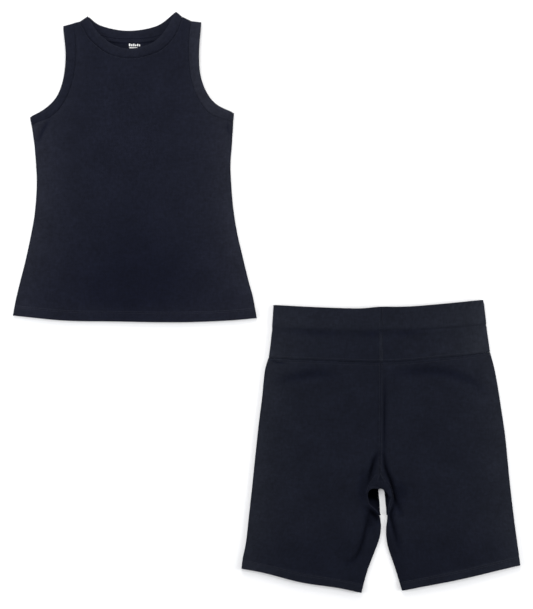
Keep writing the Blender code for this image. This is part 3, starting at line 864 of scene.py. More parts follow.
def leg_front_height(points, side, sizes):
    """Height of the middle of a leg's front, and its wall."""
    fold = distance(points, SHORTS_LINES["fold_" + side])
    inner = distance(points, inseam(side))
    above = distance(points, leg_hem(side))
    below_waist, along_waist, _ = nearest(points, SHORTS_LINES["waist"])
    height = FOLD_TOP + sizes.shorts_loft * (1 - np.exp(-fold / 32)) * (1 - 0.3 * np.exp(-above / 30))
    height += 0.9 * swell(points, 1.9 if side == "left" else 3.1) * eased(fold / 50)
    x, y = points[:, 0], points[:, 1]
    height += 3.0 * bell(np.hypot(x / 30, (y - 6) / 34), 1.0)
    wall = hem_wall(above, LEG_JERSEY, LEG_HEM_PLY, LEG_HEM_ROWS)
    closed = LEG_JERSEY * 1.5 + 0.15
    height += (closed - height) * np.exp(-inner / 9)
    height += sizes.crease_depth * creased(points, SHORTS_CREASES) * eased(fold / 9)
    height += (wall - LEG_JERSEY) * (0.25 + 1.25 * np.exp(-inner / 9))
    height -= 0.4 * row_dents(above, LEG_HEM_ROWS)
    height -= 0.8 * groove(below_waist, 1.6) + 0.35 * bell(below_waist - WAIST_TOPSTITCH, 0.8)
    height += puckered(below_waist, along_waist, 1.6 * sizes.pucker, 10.0, 1.0)
    middle, seam_cover = centre_seam(points)
    height += seam_cover * (0.9 * bell(middle, 3.4) - 0.45 * groove(middle, 0.5)
                            - 0.3 * bell(middle - CENTRE_SEAM, 0.5))
    edge = distance(points, SHORTS_LINES["inner_" + side])
    height -= (1 - seam_cover) * 0.5 * groove(edge, 0.9)
    return np.maximum(height, 1.5 * wall + 0.1), wall


def leg_back_height(points, side):
    """Height of the middle of a leg's back, which lies on the surface, and its wall."""
    above = distance(points, leg_hem(side))
    below_waist = distance(points, SHORTS_LINES["waist"])
    wall = hem_wall(above, LEG_JERSEY, LEG_HEM_PLY, LEG_HEM_ROWS)
    height = wall / 2 + 0.22 * row_dents(above, LEG_HEM_ROWS)
    height += 0.2 * groove(below_waist, 1.3) + 0.22 * bell(below_waist - WAIST_TOPSTITCH, 0.8)
    middle, seam_cover = centre_seam(points)
    height += seam_cover * (0.2 * groove(middle, 0.8) + 0.22 * bell(middle - CENTRE_SEAM, 0.5))
    return height, wall


def hem_wave(side, share):
    """How far a leg's hem sags at a share of its width from the inseam."""
    broad, short = HEM_WAVES[side]
    return broad * np.sin(np.pi * share) + short * np.sin(3 * np.pi * share)


def leg(side, finish, sizes):
    """One leg: front, fold down the outer side and back, in rows from the waist to the hem."""
    outward = -1 if side == "left" else 1
    inner_line = SHORTS_LINES["inner_" + side]
    drop = inner_line[0, 1] - inner_line[-1, 1]
    hem_rows = [drop - row + step for row in LEG_HEM_ROWS for step in ACROSS_ROW]
    waist_rows = [WAIST_TOPSTITCH + step for step in (-0.8, 0.0, 0.8)]
    stops = fine_stops(drop, sizes.grid * 0.86, NEAR_EDGE[:4], NEAR_EDGE[:4], hem_rows + waist_rows)
    fold_line = curve(LEG_FOLD[side], 1.0)
    waist = SHORTS_LINES["waist"]
    near = np.array([0.0, 0.5, 1.1, *(CENTRE_SEAM + step for step in (-0.5, 0.0, 0.5)), 4.6, 7.0])
    columns = np.linspace(0, 1, LEG_COLUMNS + 1)[1:]
    rows = []
    walls = []
    for stop in stops:
        y = inner_line[0, 1] - stop
        x = np.interp(-y, -inner_line[:, 1], inner_line[:, 0]) + SEAM_ROOM * outward
        share = stop / drop
        outer = at_share(fold_line, share)
        start = np.array([x, y])
        length = np.linalg.norm(outer - start)
        across = (outer - start) / length
        turn_top = FOLD_TOP if stop < drop - LEG_HEM_ROWS[1] else FOLD_TOP + 0.3
        wall = float(hem_wall(np.array([drop - stop]), LEG_JERSEY, LEG_HEM_PLY, LEG_HEM_ROWS)[0])
        room = (turn_top - wall / 2) / 2 + wall / 2
        stations = np.r_[near, near[-1] + (length - room - near[-1]) * columns]
        flat = start + across * stations[:, None]
        flat[:, 1] -= share * hem_wave(side, stations / length)
        if stop < WAIST_BLEND:
            seam_y = np.interp(flat[:, 0], waist[:, 0], waist[:, 1]) - SEAM_ROOM
            flat[:, 1] += (seam_y - stop - flat[:, 1]) * (1 - stop / WAIST_BLEND)
        front_height, front_wall = leg_front_height(flat, side, sizes)
        back_height, back_wall = leg_back_height(flat, side)
        rows.append(folded_row(flat, front_height, back_height, across, wall))
        walls.append(np.r_[front_wall, np.full(TURN_POINTS, wall), back_wall[::-1]])
    points = np.array(rows)
    count, width, _ = points.shape
    girth = np.array([lengths_along(row) for row in points])
    weave = grid_weave(girth, points[:, :, 1])
    painted_shading = shorts_painted_shading(points[:, :, :2].reshape(-1, 2), LEG_FOLD_REACH)
    return cloth("shorts_leg_" + side + "_jersey", points.reshape(-1, 3), grid_faces(count, width),
                 SHORTS_AT, np.concatenate(walls), weave, painted_shading, finish)


def shorts_painted_shading(points, reach):
    """Painted highlight on the shorts' jersey: most along the side folds and at the hems, less low on the
    legs; painted shade in its deep folds.
    """
    left = distance(points, SHORTS_LINES["fold_left"])
    right = distance(points, SHORTS_LINES["fold_right"])
    hem = distance(points, leg_hem("left"), leg_hem("right"))
    open_cloth = 0.18 + 0.55 * np.exp(-left / reach) + 0.6 * np.exp(-right / reach)
    open_cloth -= 0.1 * eased((-60 - points[:, 1]) / 60)
    open_cloth += 0.16 * eased((LEG_HEM_ROWS[1] + 1 - hem) / 2)
    return with_painted_shade(open_cloth, painted_fold_shade(points, SHORTS_PAINTED_SHADE), np.minimum(left, right))


def under_arch(x, y, softness):
    """1 below the arch under the crotch and 0 above it."""
    arch_x, arch_y = np.array(GUSSET_ARCH, float).T
    return eased((np.interp(x, arch_x, arch_y) - y) / softness + 0.5)


def gusset(finish, sizes):
    """The folded diamond at the crotch, in ribs from its seam to its folded edge and back."""
    at = np.linspace(0, 1, GUSSET_RIBS)
    seams = smooth_columns(GUSSET_SEAM, at)
    folds = smooth_columns(GUSSET_FOLD, at)
    sink = eased(np.interp(at, np.linspace(0, 1, len(GUSSET_SINK)), GUSSET_SINK))
    steps = np.r_[0, 0.03, np.linspace(0.08, 1.0, 21)]
    low = LEG_JERSEY / 2
    floor = low + LEG_JERSEY + 0.25
    rows = []
    for seam, fold, sunk in zip(seams, folds, sink):
        away = fold - seam
        length = np.linalg.norm(away)
        away /= length
        side = "left" if seam[0] < -2 else "right"
        start = float(leg_front_height(seam[None, :], side, sizes)[0][0])
        rim = start + 1.2
        seam = seam + away * SEAM_ROOM
        sunk_edge = sunk * under_arch(fold[0], fold[1], ARCH_SOFTNESS)
        radius = ((rim * (1 - sunk_edge) + floor * sunk_edge) - low) / 2
        reach = max(length - radius - LEG_JERSEY / 2 - SEAM_ROOM, 0.4 * length)
        flat = seam + away * (steps * reach)[:, None]
        arch = start + (rim - start) * np.sin(steps * np.pi / 2)
        arch -= creased(flat, GUSSET_RIDGES)
        pocket = floor + (start - floor) * bell(steps * reach, 1.6)
        under = under_arch(flat[:, 0], flat[:, 1], ARCH_SOFTNESS)
        height = arch * (1 - sunk * under) + pocket * sunk * under
        rows.append(folded_row(flat, height, np.full(len(flat), low), away, LEG_JERSEY))
    points = np.array(rows)
    count, width, _ = points.shape
    weave = points[:, :, :2].reshape(-1, 2)
    # Painted shade in the hollow under the arch, less on the small flap, and a painted highlight on the
    # small ridges.
    across = np.r_[steps, np.ones(TURN_POINTS), steps[::-1]]
    x, y = points[:, :, 0], points[:, :, 1]
    left_side = eased(-(x + 2) / 6)
    high = eased((y + 25) / 13)
    depth = left_side * np.minimum(0.6 + 0.4 * high + 0.35 * across ** 3, 1)
    depth += (1 - left_side) * (0.12 + 0.8 * eased((across - 0.5) / 0.3) * (0.5 + 0.5 * high))
    under = under_arch(x, y, 1.4)
    on_front = np.arange(width) < len(steps) + TURN_POINTS / 2
    hollow_shade = sink[:, None] ** 0.5 * under * depth * on_front * eased((across[None, :] - 0.02) / 0.1)
    flap = bell(at[:, None] - 0.1, 0.07) * (1 - across[None, :]) * 0.7
    ridges = -creased(points[:, :, :2].reshape(-1, 2), GUSSET_RIDGES).reshape(x.shape)
    painted_shading = ((0.16 + 0.5 * ridges) * (1 - hollow_shade) - hollow_shade * (1 - flap)).ravel()
    return cloth("shorts_gusset_jersey", points.reshape(-1, 3), grid_faces(count, width), SHORTS_AT,
                 LEG_JERSEY, weave, painted_shading, finish)


def channel_at(x):
    """How far below its top edge the waistband's elastic ends; a little further on the right."""
    return CHANNEL + 4.4 * np.clip((x - 20) / 170, 0, 1)


def channel_slack(x):
    """Where the cloth is loose below the waistband's elastic: left, middle and right of the middle."""
    return bell(x + 118, 42) + bell(x + 18, 20) + bell(x - 46, 22)


def gathered(x, below):
    """The small slanting gathers at the top of the waistband, most of them on the right."""
    amount = 0.1 + 0.9 * eased((x - 100) / 50) * eased((188 - x) / 8)
    slanted = x + 0.55 * below
    ripples = np.sin(slanted * 0.58) + 0.35 * np.sin(x * 0.93 + 1.3)
    return amount * ripples * np.exp(-(below / 15) ** 2)


def waistband_back_height(below):
    """Height of the middle of the waistband's back at rows below its top edge."""
    return BAND_PLY / 2 + 0.2 * groove(BAND_HEIGHT - below, 1.3) + 0.15 * bell(below - CHANNEL, 1.2)


def waistband_front_height(flat, below, sizes):
    """Height of the middle of the waistband's front at rows below its top edge."""
    x = flat[:, 0]
    above_seam = BAND_HEIGHT - below
    fold = np.minimum(np.abs(x + 197), np.abs(x - 188))
    height = FOLD_TOP + 0.8 + sizes.shorts_loft * (1 - np.exp(-fold / 32))
    height += 0.6 * swell(flat, 5.2) * eased(fold / 50)
    crisp = eased((x - 40) / 60)
    channel = below - channel_at(x)
    height += 0.8 * eased(-channel / 6)
    slack = 0.55 + 0.7 * channel_slack(x)
    height -= (1 - crisp) * slack * bell(channel - 4, 5.5) + crisp * 0.9 * bell(channel, 2.2)
    height += 0.8 * gathered(x, below)
    height -= 0.8 * groove(above_seam, 1.6) + 0.3 * bell(above_seam - BAND_TOPSTITCH, 0.8)
    middle = np.abs(x)
    height += 0.95 * bell(middle, 2.4) - 0.35 * bell(middle, 0.45)
    height -= 0.3 * bell(middle - FRONT_SEAM_ROW, 0.5)
    height += 0.3 * bell(middle - 7, 5) * np.sin(below / 9)
    return height


def waistband(finish, sizes):
    """The waistband: a double strip from the front seam round the waist and back to it."""
    tops = curve(WAIST_TOP, 1.0)
    seams = curve(WAIST_SEAM, 1.0)
    seam_rows = [FRONT_SEAM_ROW + step for step in (-0.6, 0.0, 0.6)]
    half = 1 - fine_stops(HALF_WAIST, sizes.grid, NEAR_EDGE[:3], extra=seam_rows) / HALF_WAIST
    shares = np.sort(np.r_[(FRONT_SEAM_SHARE - FRONT_SEAM_GAP) * half,
                           1.0 - (1 - FRONT_SEAM_SHARE - FRONT_SEAM_GAP) * half])
    stops = fine_stops(BAND_HEIGHT, sizes.grid * 0.9, NEAR_EDGE[:4], NEAR_EDGE[:4],
                       [CHANNEL + step for step in (-2.6, -1.3, 0.0, 1.3, 2.6, 4.0, 5.4)])
    down = stops / BAND_HEIGHT
    columns = []
    for share in shares:
        top = at_share(tops, share)
        drop = at_share(seams, share) - top
        length = np.linalg.norm(drop)
        flat = top + drop / length * (down * (length - SEAM_ROOM))[:, None]
        flat[:, 0] += BAND_BOW * 4 * down * (1 - down) * eased((-flat[:, 0] - 120) / 60)
        edge = np.clip((np.abs(flat[:, 0] + 4.5) - 150) / 45, 0, 1)
        flat[:, 0] -= np.sign(flat[:, 0]) * BAND_INSET * edge
        columns.append(flat)
    fronts = [np.column_stack([flat, waistband_front_height(flat, stops, sizes)]) for flat in columns]
    backs = [np.column_stack([flat, waistband_back_height(stops)]) for flat in columns]
    split = int(np.searchsorted(shares, FRONT_SEAM_SHARE))
    turns = []
    for index, outward in ((0, -1.0), (len(shares) - 1, 1.0)):
        upper = fronts[index][:, 2]
        lower = backs[index][:, 2]
        away = np.array([outward, 0.0])
        spots = columns[index] + away * ((upper - lower) / 2 + BAND_PLY / 2)[:, None]
        turns.append(half_turn(spots, away, upper, lower, BAND_PLY)[1:-1])
    sections = [*fronts[:split][::-1], *turns[0], *backs, *turns[1][::-1], *fronts[split:][::-1]]
    points = np.array(sections)
    count, width, _ = points.shape
    girth = lengths_along(points[:, width // 2])
    weave = grid_weave(girth[:, None], -stops[None, :])
    flat = points[:, :, :2].reshape(-1, 2)
    x = flat[:, 0]
    below = np.tile(stops, count)
    # Painted highlight over the elastic, towards both ends, on the gathers and along the front seam; painted
    # shade in the slack cloth below the elastic.
    from_left = np.exp(-(x + 198).clip(0) / 40)
    from_right = np.exp(-(190 - x).clip(0) / 50)
    channel = below - channel_at(x)
    painted_shading = shorts_painted_shading(flat, BAND_FOLD_REACH) + 0.18 * eased(-channel / 6)
    painted_shading += 0.22 * from_left + 0.6 * from_right + 0.2 * gathered(x, below)
    painted_shading -= (0.05 + 0.17 * channel_slack(x)) * bell(channel - 5, 6.0) * (1 - eased((x - 60) / 60))
    painted_shading += 0.4 * bell(x, 2.2) * eased((below - 44) / 10)
    return cloth("shorts_waistband_jersey", points.reshape(-1, 3), grid_faces(count, width), SHORTS_AT,
                 BAND_PLY, weave, painted_shading, finish, edge_round=0.42)


# ---------------------------------------------------------------- stitches and print

# How many sides a stitch has, its length in pitches, its height in threads, and how far its middle
# stands off the cloth on top and beneath, in threads.
STITCH_SIDES = 6
STITCH_LENGTH = 0.78
STITCH_HEIGHT = 0.72
STITCH_RISE = {1: 0.12, -1: -0.144}
# The neck mark's thickness and its gap to the cloth, its bar, placed by its middle, and the blocks
# above it, placed by the middle of their foot: across, up, width and height.
MARK_THICKNESS = 0.1
MARK_GAP = 0.03
MARK_BAR = (-1.2, 481.6, 15.0, 1.6)
MARK_BLOCKS = [(-8.0, 484.2, 2.8, 5.0), (-4.2, 484.2, 2.4, 3.8), (-0.6, 484.2, 2.2, 4.8),
               (2.8, 484.2, 2.4, 3.2), (6.4, 484.2, 2.3, 4.4), (9.7, 484.2, 2.0, 3.4)]


def grain():
    """One stitch: a small closed grain, 1 long, 1 wide and 1 high."""
    rings = [(-0.36, 0.36), (0.0, 0.5), (0.36, 0.36)]
    sides = STITCH_SIDES
    around = np.linspace(0, 2 * np.pi, sides, endpoint=False)
    points = [(-0.5, 0.0, 0.0)]
    for along, radius in rings:
        points += [(along, radius * np.cos(angle), radius * np.sin(angle)) for angle in around]
    points.append((0.5, 0.0, 0.0))
    faces = [(0, 1 + (step + 1) % sides, 1 + step) for step in range(sides)]
    for ring in range(len(rings) - 1):
        for step in range(sides):
            first = 1 + ring * sides + step
            second = 1 + ring * sides + (step + 1) % sides
            faces.append((first, second, second + sides, first + sides))
    last = len(points) - 1
    faces += [(last, last - sides + step, last - sides + (step + 1) % sides) for step in range(sides)]
    return np.array(points), faces


def surface_of(pieces):
    """One search tree over the finished surfaces of some pieces."""
    bpy.context.view_layer.update()
    graph = bpy.context.evaluated_depsgraph_get()
    vertices = []
    faces = []
    for piece in pieces:
        shape = piece.evaluated_get(graph).to_mesh()
        offset = len(vertices)
        vertices += [tuple(vertex.co) for vertex in shape.vertices]
        faces += [tuple(index + offset for index in face.vertices) for face in shape.polygons]
    return BVHTree.FromPolygons(vertices, faces)


def stitches(name, rows, pieces, at, finish, sizes):
    """Rows of stitches joined in one mesh; a row is its line and 1 for the top or -1 for beneath."""
    tree = surface_of(pieces)
    shape, shape_faces = grain()
    points = []
    faces = []
    size = np.array([STITCH_LENGTH * sizes.stitch_pitch, sizes.thread, sizes.thread * STITCH_HEIGHT]) * MM
    for line, side in rows:
        spots = evenly(np.asarray(line, float), sizes.stitch_pitch)
        along = np.gradient(spots, axis=0)
        for spot, direction in zip(spots, along):
            over = Vector(((spot[0] + at[0]) * MM, (spot[1] + at[1]) * MM, 0.1 * side))
            hit, normal, _, _ = tree.ray_cast(over, Vector((0, 0, -side)), 0.2)
            if hit is None:
                continue
            ahead = Vector((direction[0], direction[1], 0)).normalized()
            ahead = (ahead - normal * ahead.dot(normal)).normalized()
            across = normal.cross(ahead)
            turned = np.array([ahead[:], across[:], normal[:]])
            middle = np.array(hit[:]) + np.array(normal[:]) * sizes.thread * STITCH_RISE[side] * MM
            base = len(points) * len(shape)
            points.append((shape * size) @ turned + middle)
            faces += [tuple(index + base for index in face) for face in shape_faces]
    return new_piece(name, np.vstack(points), faces, finish)


def neck_mark(finish, at):
    """A plain printed mark inside the back of the neck: a row of rounded blocks over a thin bar."""
    low = JERSEY + MARK_GAP
    high = low + MARK_THICKNESS
    bars = [MARK_BAR, *((x, foot + height / 2, width, height) for x, foot, width, height in MARK_BLOCKS)]
    points = []
    faces = []
    for x, y, width, height in bars:
        corner = min(width, height) / 2 * 0.8
        base = len(points)
        outline = []
        for quarter, (sx, sy) in enumerate(((1, 1), (-1, 1), (-1, -1), (1, -1))):
            for step in range(5):
                angle = (quarter + step / 4) * np.pi / 2
                outline.append((x + sx * (width / 2 - corner) + corner * np.cos(angle),
                                y + sy * (height / 2 - corner) + corner * np.sin(angle)))
        count = len(outline)
        points += [(*spot, level) for level in (low, high) for spot in outline]
        faces.append(tuple(base + index for index in reversed(range(count))))
        faces.append(tuple(base + count + index for index in range(count)))
        for index in range(count):
            following = (index + 1) % count
            faces.append((base + index, base + following, base + count + following, base + count + index))
    return new_piece("tank_neck_mark", (np.array(points) + at) * MM, faces, finish, smooth=False)


# ---------------------------------------------------------------- materials

class Nodes:
    """Short calls for building one material's nodes."""

    def __init__(self, name):
        self.material = bpy.data.materials.get(name) or bpy.data.materials.new(name)
        self.material.use_nodes = True
        self.tree = self.material.node_tree
        self.tree.nodes.clear()
        self.shader = self.add("ShaderNodeBsdfPrincipled")
        output = self.add("ShaderNodeOutputMaterial")
        self.tree.links.new(self.shader.outputs[0], output.inputs[0])

    def add(self, kind, **values):
        """A node with some of its properties set."""
        node = self.tree.nodes.new(kind)
        for key, value in values.items():
            setattr(node, key, value)
        return node

    def feed(self, socket, value):
        """Link an output to a socket or set its value."""
        if isinstance(value, bpy.types.NodeSocket):
            self.tree.links.new(value, socket)
        else:
            socket.default_value = value

    def math(self, operation, first, second=None, third=None):
        """A Math node's output."""
        node = self.add("ShaderNodeMath", operation=operation)
        for socket, value in zip(node.inputs, (first, second, third)):
            if value is not None:
                self.feed(socket, value)
        return node.outputs[0]

    def noise(self, vector, scale, detail=2.0, roughness=0.5):
        """A Noise texture's factor."""
        node = self.add("ShaderNodeTexNoise")
        self.feed(node.inputs["Vector"], vector)
        node.inputs["Scale"].default_value = scale
        node.inputs["Detail"].default_value = detail
        node.inputs["Roughness"].default_value = roughness
        return node.outputs["Fac"]

    def stretched(self, vector, factors):
        """A vector with each of its parts times a number."""
        node = self.add("ShaderNodeVectorMath", operation="MULTIPLY")
        self.feed(node.inputs[0], vector)
        node.inputs[1].default_value = factors
        return node.outputs[0]

    def spread(self, value, low, high, new_low, new_high):
        """A value mapped from one range to another."""
        node = self.add("ShaderNodeMapRange")
        for socket, number in zip(node.inputs, (value, low, high, new_low, new_high)):
            self.feed(socket, number)
        return node.outputs[0]

    def mixed(self, share, first, second):
        """A colour between two."""
        node = self.add("ShaderNodeMix", data_type="RGBA")
        self.feed(node.inputs[0], share)
        self.feed(node.inputs[6], first)
        self.feed(node.inputs[7], second)
        return node.outputs[2]

    def scaled(self, colour, amount):
        """A colour times a number."""
        node = self.add("ShaderNodeVectorMath", operation="SCALE")
        self.feed(node.inputs[0], colour)
        self.feed(node.inputs["Scale"], amount)
        return node.outputs[0]

    def put(self, name, value):
        """Feed the shader's own socket of a name."""
        self.feed(self.shader.inputs[name], value)

    def relief(self, height, strength, depth):
        """Raise the finish by a height, its depth in metres."""
        bump = self.add("ShaderNodeBump")
        self.feed(bump.inputs["Strength"], strength)
        self.feed(bump.inputs["Distance"], depth)
        self.feed(bump.inputs["Height"], height)
        self.put("Normal", bump.outputs[0])


# The knit's stitch, across and along, in millimetres; how many times paler than the cloth's own colour the
# painted highlight colour is, least in blue; and a turn of a sine.
WALE = 0.95
COURSE = 0.78
PAINTED_HIGHLIGHT_TIMES = (3.3, 3.0, 2.05)
FULL_TURN = 6.2832
# Where most of a noise lies.
NOISE_RANGE = (0.3, 0.7)


def jersey(name, colour):
    """Plain knit: columns of small V loops, soft mottling, and painted highlight and painted shade from the
    mesh.
    """
    make = Nodes(name)
    weave = make.add("ShaderNodeAttribute", attribute_name="weave").outputs["Vector"]
    split = make.add("ShaderNodeSeparateXYZ")
    make.feed(split.inputs[0], weave)
    across = make.math("DIVIDE", split.outputs[0], WALE)
    along = make.math("DIVIDE", split.outputs[1], COURSE)
    leg_place = make.math("ABSOLUTE", make.math("SUBTRACT", make.math("FRACT", across), 0.5))
    slant = make.math("MULTIPLY_ADD", leg_place, 1.3, along)
    wave = make.math("SINE", make.math("MULTIPLY", slant, FULL_TURN))
    loop = make.math("MULTIPLY_ADD", wave, 0.5, 0.5)
    ridge = make.math("SINE", make.math("MULTIPLY", leg_place, FULL_TURN))
    knit = make.math("MULTIPLY", ridge, make.math("MULTIPLY_ADD", loop, 0.45, 0.55))
    place = make.add("ShaderNodeTexCoord").outputs["Object"]
    fuzz = make.noise(place, 1400.0, 3.0, 0.7)
    blotch = make.noise(place, 22.0, 3.0, 0.55)
    mottle = make.noise(place, 150.0, 3.0, 0.6)
    along_wales = make.noise(make.stretched(weave, (0.34, 0.085, 1.0)), 1.0)
    along_courses = make.noise(make.stretched(weave, (0.09, 0.3, 1.0)), 1.0)
    shade = make.spread(blotch, *NOISE_RANGE, 0.88, 1.12)
    for uneven, known, darkest, palest in (
            (mottle, NOISE_RANGE, 0.83, 1.17), (along_wales, NOISE_RANGE, 0.91, 1.09),
            (along_courses, NOISE_RANGE, 0.92, 1.08), (knit, (0.0, 1.0), 0.86, 1.08),
            (fuzz, NOISE_RANGE, 0.92, 1.08)):
        shade = make.math("MULTIPLY", shade, make.spread(uneven, *known, darkest, palest))
    # Painted highlight mixes towards a paler colour; painted shade below zero darkens the colour and dims
    # the specular and sheen.
    painted_shading = make.add("ShaderNodeAttribute", attribute_name="painted_shading").outputs["Fac"]
    lighter = tuple(channel * times for channel, times in zip(colour, PAINTED_HIGHLIGHT_TIMES))
    base = make.mixed(painted_shading, (*colour, 1.0), (*lighter, 1.0))
    lit = make.math("MAXIMUM", make.math("MINIMUM", make.math("ADD", painted_shading, 1.0), 1.0), 0.04)
    make.put("Base Color", make.scaled(base, make.math("MULTIPLY", shade, lit)))
    make.put("Roughness", make.spread(mottle, *NOISE_RANGE, 0.84, 0.94))
    make.put("Specular IOR Level", make.math("MULTIPLY", lit, 0.05))
    make.put("Sheen Weight", make.math("MULTIPLY", lit, 0.05))
    make.put("Sheen Roughness", 0.5)
    make.put("Sheen Tint", (0.62, 0.68, 1.0, 1.0))
    height = make.math("ADD", make.math("MULTIPLY", knit, 0.8), make.math("MULTIPLY", fuzz, 0.5))
    make.relief(height, 0.55, 0.00012)
    return make.material


def grained(name, colour, noise, shades):
    """A material of one colour with a fine grain in its shade, and that grain."""
    make = Nodes(name)
    speckle = make.noise(make.add("ShaderNodeTexCoord").outputs["Object"], *noise)
    make.put("Base Color", make.scaled((*colour,), make.spread(speckle, *NOISE_RANGE, *shades)))
    return make, speckle


def thread_finish(colour):
    """Twisted polyester thread."""
    make, twist = grained("sewing_thread", colour, (2600.0, 2.0, 0.5), (0.75, 1.2))
    make.put("Roughness", make.spread(twist, *NOISE_RANGE, 0.5, 0.68))
    make.put("Specular IOR Level", 0.3)
    make.relief(twist, 0.4, 0.00005)
    return make.material


def print_finish(colour):
    """Matte transfer print that lets a little of the knit through."""
    make, worn = grained("neck_print", colour, (900.0, 3.0, 0.6), (0.9, 1.05))
    make.put("Roughness", make.spread(worn, *NOISE_RANGE, 0.6, 0.75))
    make.relief(worn, 0.3, 0.00005)
    return make.material


def surface_finish(colour):
    """Plain pale surface with the faintest unevenness."""
    make, _ = grained("pale_surface", colour, (3.0, 2.0, 0.5), (0.995, 1.005))
    make.put("Roughness", 0.9)
    make.put("Specular IOR Level", 0.2)
    return make.material


# ---------------------------------------------------------------- operators

class GARMENT_OT_stage(bpy.types.Operator):
    """Lay the pale surface, hang the soft lights and set the camera straight above"""

    bl_idname = "garment.stage"
    bl_label = "Surface, lights and camera"

    def execute(self, context):
        _, colours = settings()
        bpy.ops.mesh.primitive_plane_add(size=SURFACE_SIZE, location=(0, 0, SURFACE_LEVEL))
        surface = context.object
        surface.name = "pale_surface"
        surface.data.materials.append(surface_finish(colours.surface))
        camera_data = bpy.data.cameras.new("camera_above")
        camera_data.lens = CAMERA_LENS
        camera_data.sensor_width = CAMERA_SENSOR
        camera_data.clip_end = 50.0
        camera = bpy.data.objects.new("camera_above", camera_data)
        camera.location = (*CAMERA_PLACE, CAMERA_FIELD * CAMERA_LENS / CAMERA_SENSOR + CLOTH_LEVEL)
        context.scene.collection.objects.link(camera)
        context.scene.camera = camera
        for name, location, size, power, colour in LAMPS:
            lamp_data = bpy.data.lights.new(name, "AREA")
            lamp_data.size = size
            lamp_data.energy = power
            lamp_data.color = colour
            lamp = bpy.data.objects.new(name, lamp_data)
            lamp.location = location
            lamp.rotation_euler = (-Vector(location)).to_track_quat("-Z", "Y").to_euler()
            context.scene.collection.objects.link(lamp)
        world = bpy.data.worlds.new("studio_air")
        world.use_nodes = True
        air = world.node_tree.nodes["Background"]
        air.inputs["Color"].default_value = AIR_COLOUR
        air.inputs["Strength"].default_value = AIR_STRENGTH
        context.scene.world = world
        context.scene.view_settings.view_transform = "Standard"
        return {"FINISHED"}


class GARMENT_OT_tank_panels(bpy.types.Operator):
    """Make the tank's front and back, with their hems, creases and side seams"""

    bl_idname = "garment.tank_panels"
    bl_label = "Tank front and back"

    def execute(self, context):
        sizes, colours = settings()
        finish = jersey("tank_jersey_knit", colours.tank)
        back = tank_panel("tank_back_jersey", "back", tank_back_height, finish, sizes)
        front = tank_panel("tank_front_jersey", "front", tank_front_height, finish, sizes)
        for piece, node, area in ((front, "tank_front", 0.176), (back, "tank_back", 0.180)):
            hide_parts(node)
        return {"FINISHED"}


class GARMENT_OT_tank_bindings(bpy.types.Operator):
    """Make the neck band and the two armhole bands"""

    bl_idname = "garment.tank_bindings"
    bl_label = "Tank bindings"

    def execute(self, context):
        sizes, colours = settings()
        finish = jersey("tank_binding_knit", colours.tank)
        neck = binding("tank_neck_binding", (NECK_SEAM["front"], NECK_EDGE["front"]),
                       (NECK_SEAM["back"], NECK_EDGE["back"]), finish, sizes, 0.6)
        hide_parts("tank_neck_band")
        for side, phase in (("left", 1.7), ("right", 3.3)):
            rungs = (ARM_SEAM[side], ARM_EDGE[side])
            arm = binding("tank_armhole_binding_" + side, rungs, rungs, finish, sizes, phase)
            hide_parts("tank_armhole_band_" + side)
        return {"FINISHED"}


class GARMENT_OT_tank_trim(bpy.types.Operator):
    """Sew the tank's topstitching and twin hem rows, and print the plain neck mark"""

    bl_idname = "garment.tank_trim"
    bl_label = "Tank stitches and neck mark"

    def execute(self, context):
        sizes, colours = settings()
        finish = thread_finish(colours.thread)
        front = [bpy.data.objects["tank_front_jersey"]]
        back = [bpy.data.objects["tank_back_jersey"]]
        for name, pieces, neck, side in (("tank_front_stitches", front, "front", 1),
                                         ("tank_back_stitches", back, "back", -1)):
            edges = [*((HEM, row) for row in TANK_HEM_ROWS), (ARM_SEAM["left"], -TOPSTITCH),
                     (ARM_SEAM["right"], TOPSTITCH), (NECK_SEAM[neck], -TOPSTITCH)]
            rows = [(shifted(curve(edge, 2.0), offset)[2:-2], side) for edge, offset in edges]
            made = stitches(name, rows, pieces, TANK_AT, finish, sizes)
        mark = neck_mark(print_finish(colours.mark), TANK_AT)
        return {"FINISHED"}


class GARMENT_OT_shorts_legs(bpy.types.Operator):
    """Make both legs, each one piece round its outer side, and the gusset between them"""

    bl_idname = "garment.shorts_legs"
    bl_label = "Shorts legs and gusset"

    def execute(self, context):
        sizes, colours = settings()
        finish = jersey("shorts_jersey_knit", colours.shorts)
        for side in ("left", "right"):
            piece = leg(side, finish, sizes)
            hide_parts("shorts_leg_" + side)
        piece = gusset(finish, sizes)
        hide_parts("shorts_gusset")
        return {"FINISHED"}


class GARMENT_OT_shorts_waistband(bpy.types.Operator):
    """Make the waistband with its elastic channel and gathered top edge"""

    bl_idname = "garment.shorts_waistband"
    bl_label = "Shorts waistband"

    def execute(self, context):
        sizes, colours = settings()
        finish = jersey("waistband_knit", colours.shorts)
        piece = waistband(finish, sizes)
        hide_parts("shorts_waistband")
        return {"FINISHED"}


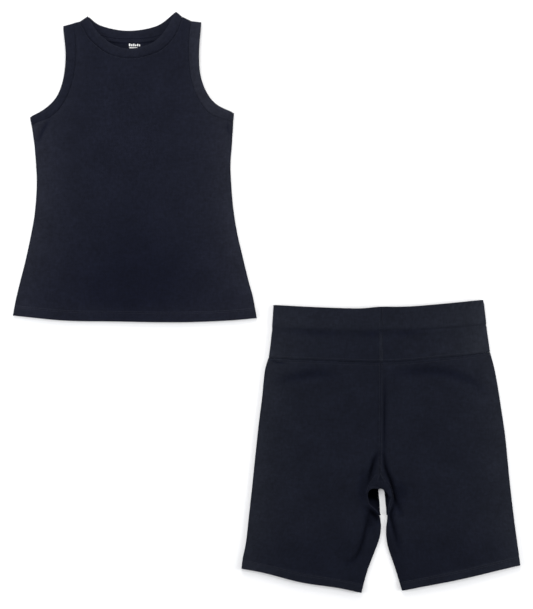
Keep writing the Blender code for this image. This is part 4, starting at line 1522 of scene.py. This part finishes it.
class GARMENT_OT_shorts_stitches(bpy.types.Operator):
    """Sew the shorts' hems, waist seam, centre seams and gusset"""

    bl_idname = "garment.shorts_stitches"
    bl_label = "Shorts stitches"

    def execute(self, context):
        sizes, colours = settings()
        finish = thread_finish(colours.thread)
        pieces = [bpy.data.objects["shorts_" + part + "_jersey"]
                  for part in ("leg_left", "leg_right", "gusset", "waistband")]
        waist = curve(WAIST_SEAM, 2.0)
        lines = [shifted(waist, -WAIST_TOPSTITCH)[1:-1], shifted(waist, BAND_TOPSTITCH)[2:-3]]
        for side, turn in (("left", 1), ("right", -1)):
            inner, outer = leg_hem(side)
            share = np.linspace(0.02, 0.985, 90)[:, None]
            hem = inner + (outer - inner) * share
            hem[:, 1] -= hem_wave(side, share[:, 0])
            lines += [shifted(hem, -row * turn) for row in LEG_HEM_ROWS]
            edge = SHORTS_LINES["inner_" + side]
            by_gusset = edge[(edge[:, 1] < 44) & (edge[:, 1] > (-8 if side == "left" else -40))]
            lines.append(shifted(by_gusset, -1.8 * turn))
        for offset in (-CENTRE_SEAM, CENTRE_SEAM):
            lines.append(np.array([(CENTRE_X + offset, 225.0), (CENTRE_X + offset, 120.0),
                                   (CENTRE_X - 1 + offset, 34.0)]))
        band = [np.array([(offset, 324.0), (offset, 234.0)])
                for offset in (-FRONT_SEAM_ROW, FRONT_SEAM_ROW)]
        rows = [(line, 1) for line in lines + band] + [(line, -1) for line in lines + band]
        made = stitches("shorts_stitches", rows, pieces, SHORTS_AT, finish, sizes)
        return {"FINISHED"}


class GARMENT_PT_set(bpy.types.Panel):
    """The steps of the set, in the order in which they are made"""

    bl_label = "Tank top and bike shorts"
    bl_idname = "GARMENT_PT_set"
    bl_space_type = "VIEW_3D"
    bl_region_type = "UI"
    bl_category = "Garment Set"

    def draw(self, context):
        layout = self.layout
        for group in (context.scene.set_sizes, context.scene.set_colours):
            box = layout.box()
            for name in group.bl_rna.properties.keys():
                if name not in ("rna_type", "name"):
                    box.prop(group, name)
        for step in STEPS:
            layout.operator(step.bl_idname)


STEPS = (
    GARMENT_OT_stage,
    GARMENT_OT_tank_panels,
    GARMENT_OT_tank_bindings,
    GARMENT_OT_tank_trim,
    GARMENT_OT_shorts_legs,
    GARMENT_OT_shorts_waistband,
    GARMENT_OT_shorts_stitches,
)
CLASSES = (SetSizes, SetColours, *STEPS, GARMENT_PT_set)


def register():
    """Add the settings, the steps and the panel."""
    for item in CLASSES:
        bpy.utils.register_class(item)
    bpy.types.Scene.set_sizes = PointerProperty(type=SetSizes)
    bpy.types.Scene.set_colours = PointerProperty(type=SetColours)


def unregister():
    """Take them away again."""
    del bpy.types.Scene.set_colours
    del bpy.types.Scene.set_sizes
    for item in reversed(CLASSES):
        bpy.utils.unregister_class(item)


def main():
    """Make the whole set step by step."""
    register()
    bpy.ops.garment.stage()
    bpy.ops.garment.tank_panels()
    bpy.ops.garment.tank_bindings()
    bpy.ops.garment.tank_trim()
    bpy.ops.garment.shorts_legs()
    bpy.ops.garment.shorts_waistband()
    bpy.ops.garment.shorts_stitches()


if __name__ == "__main__":
    main()
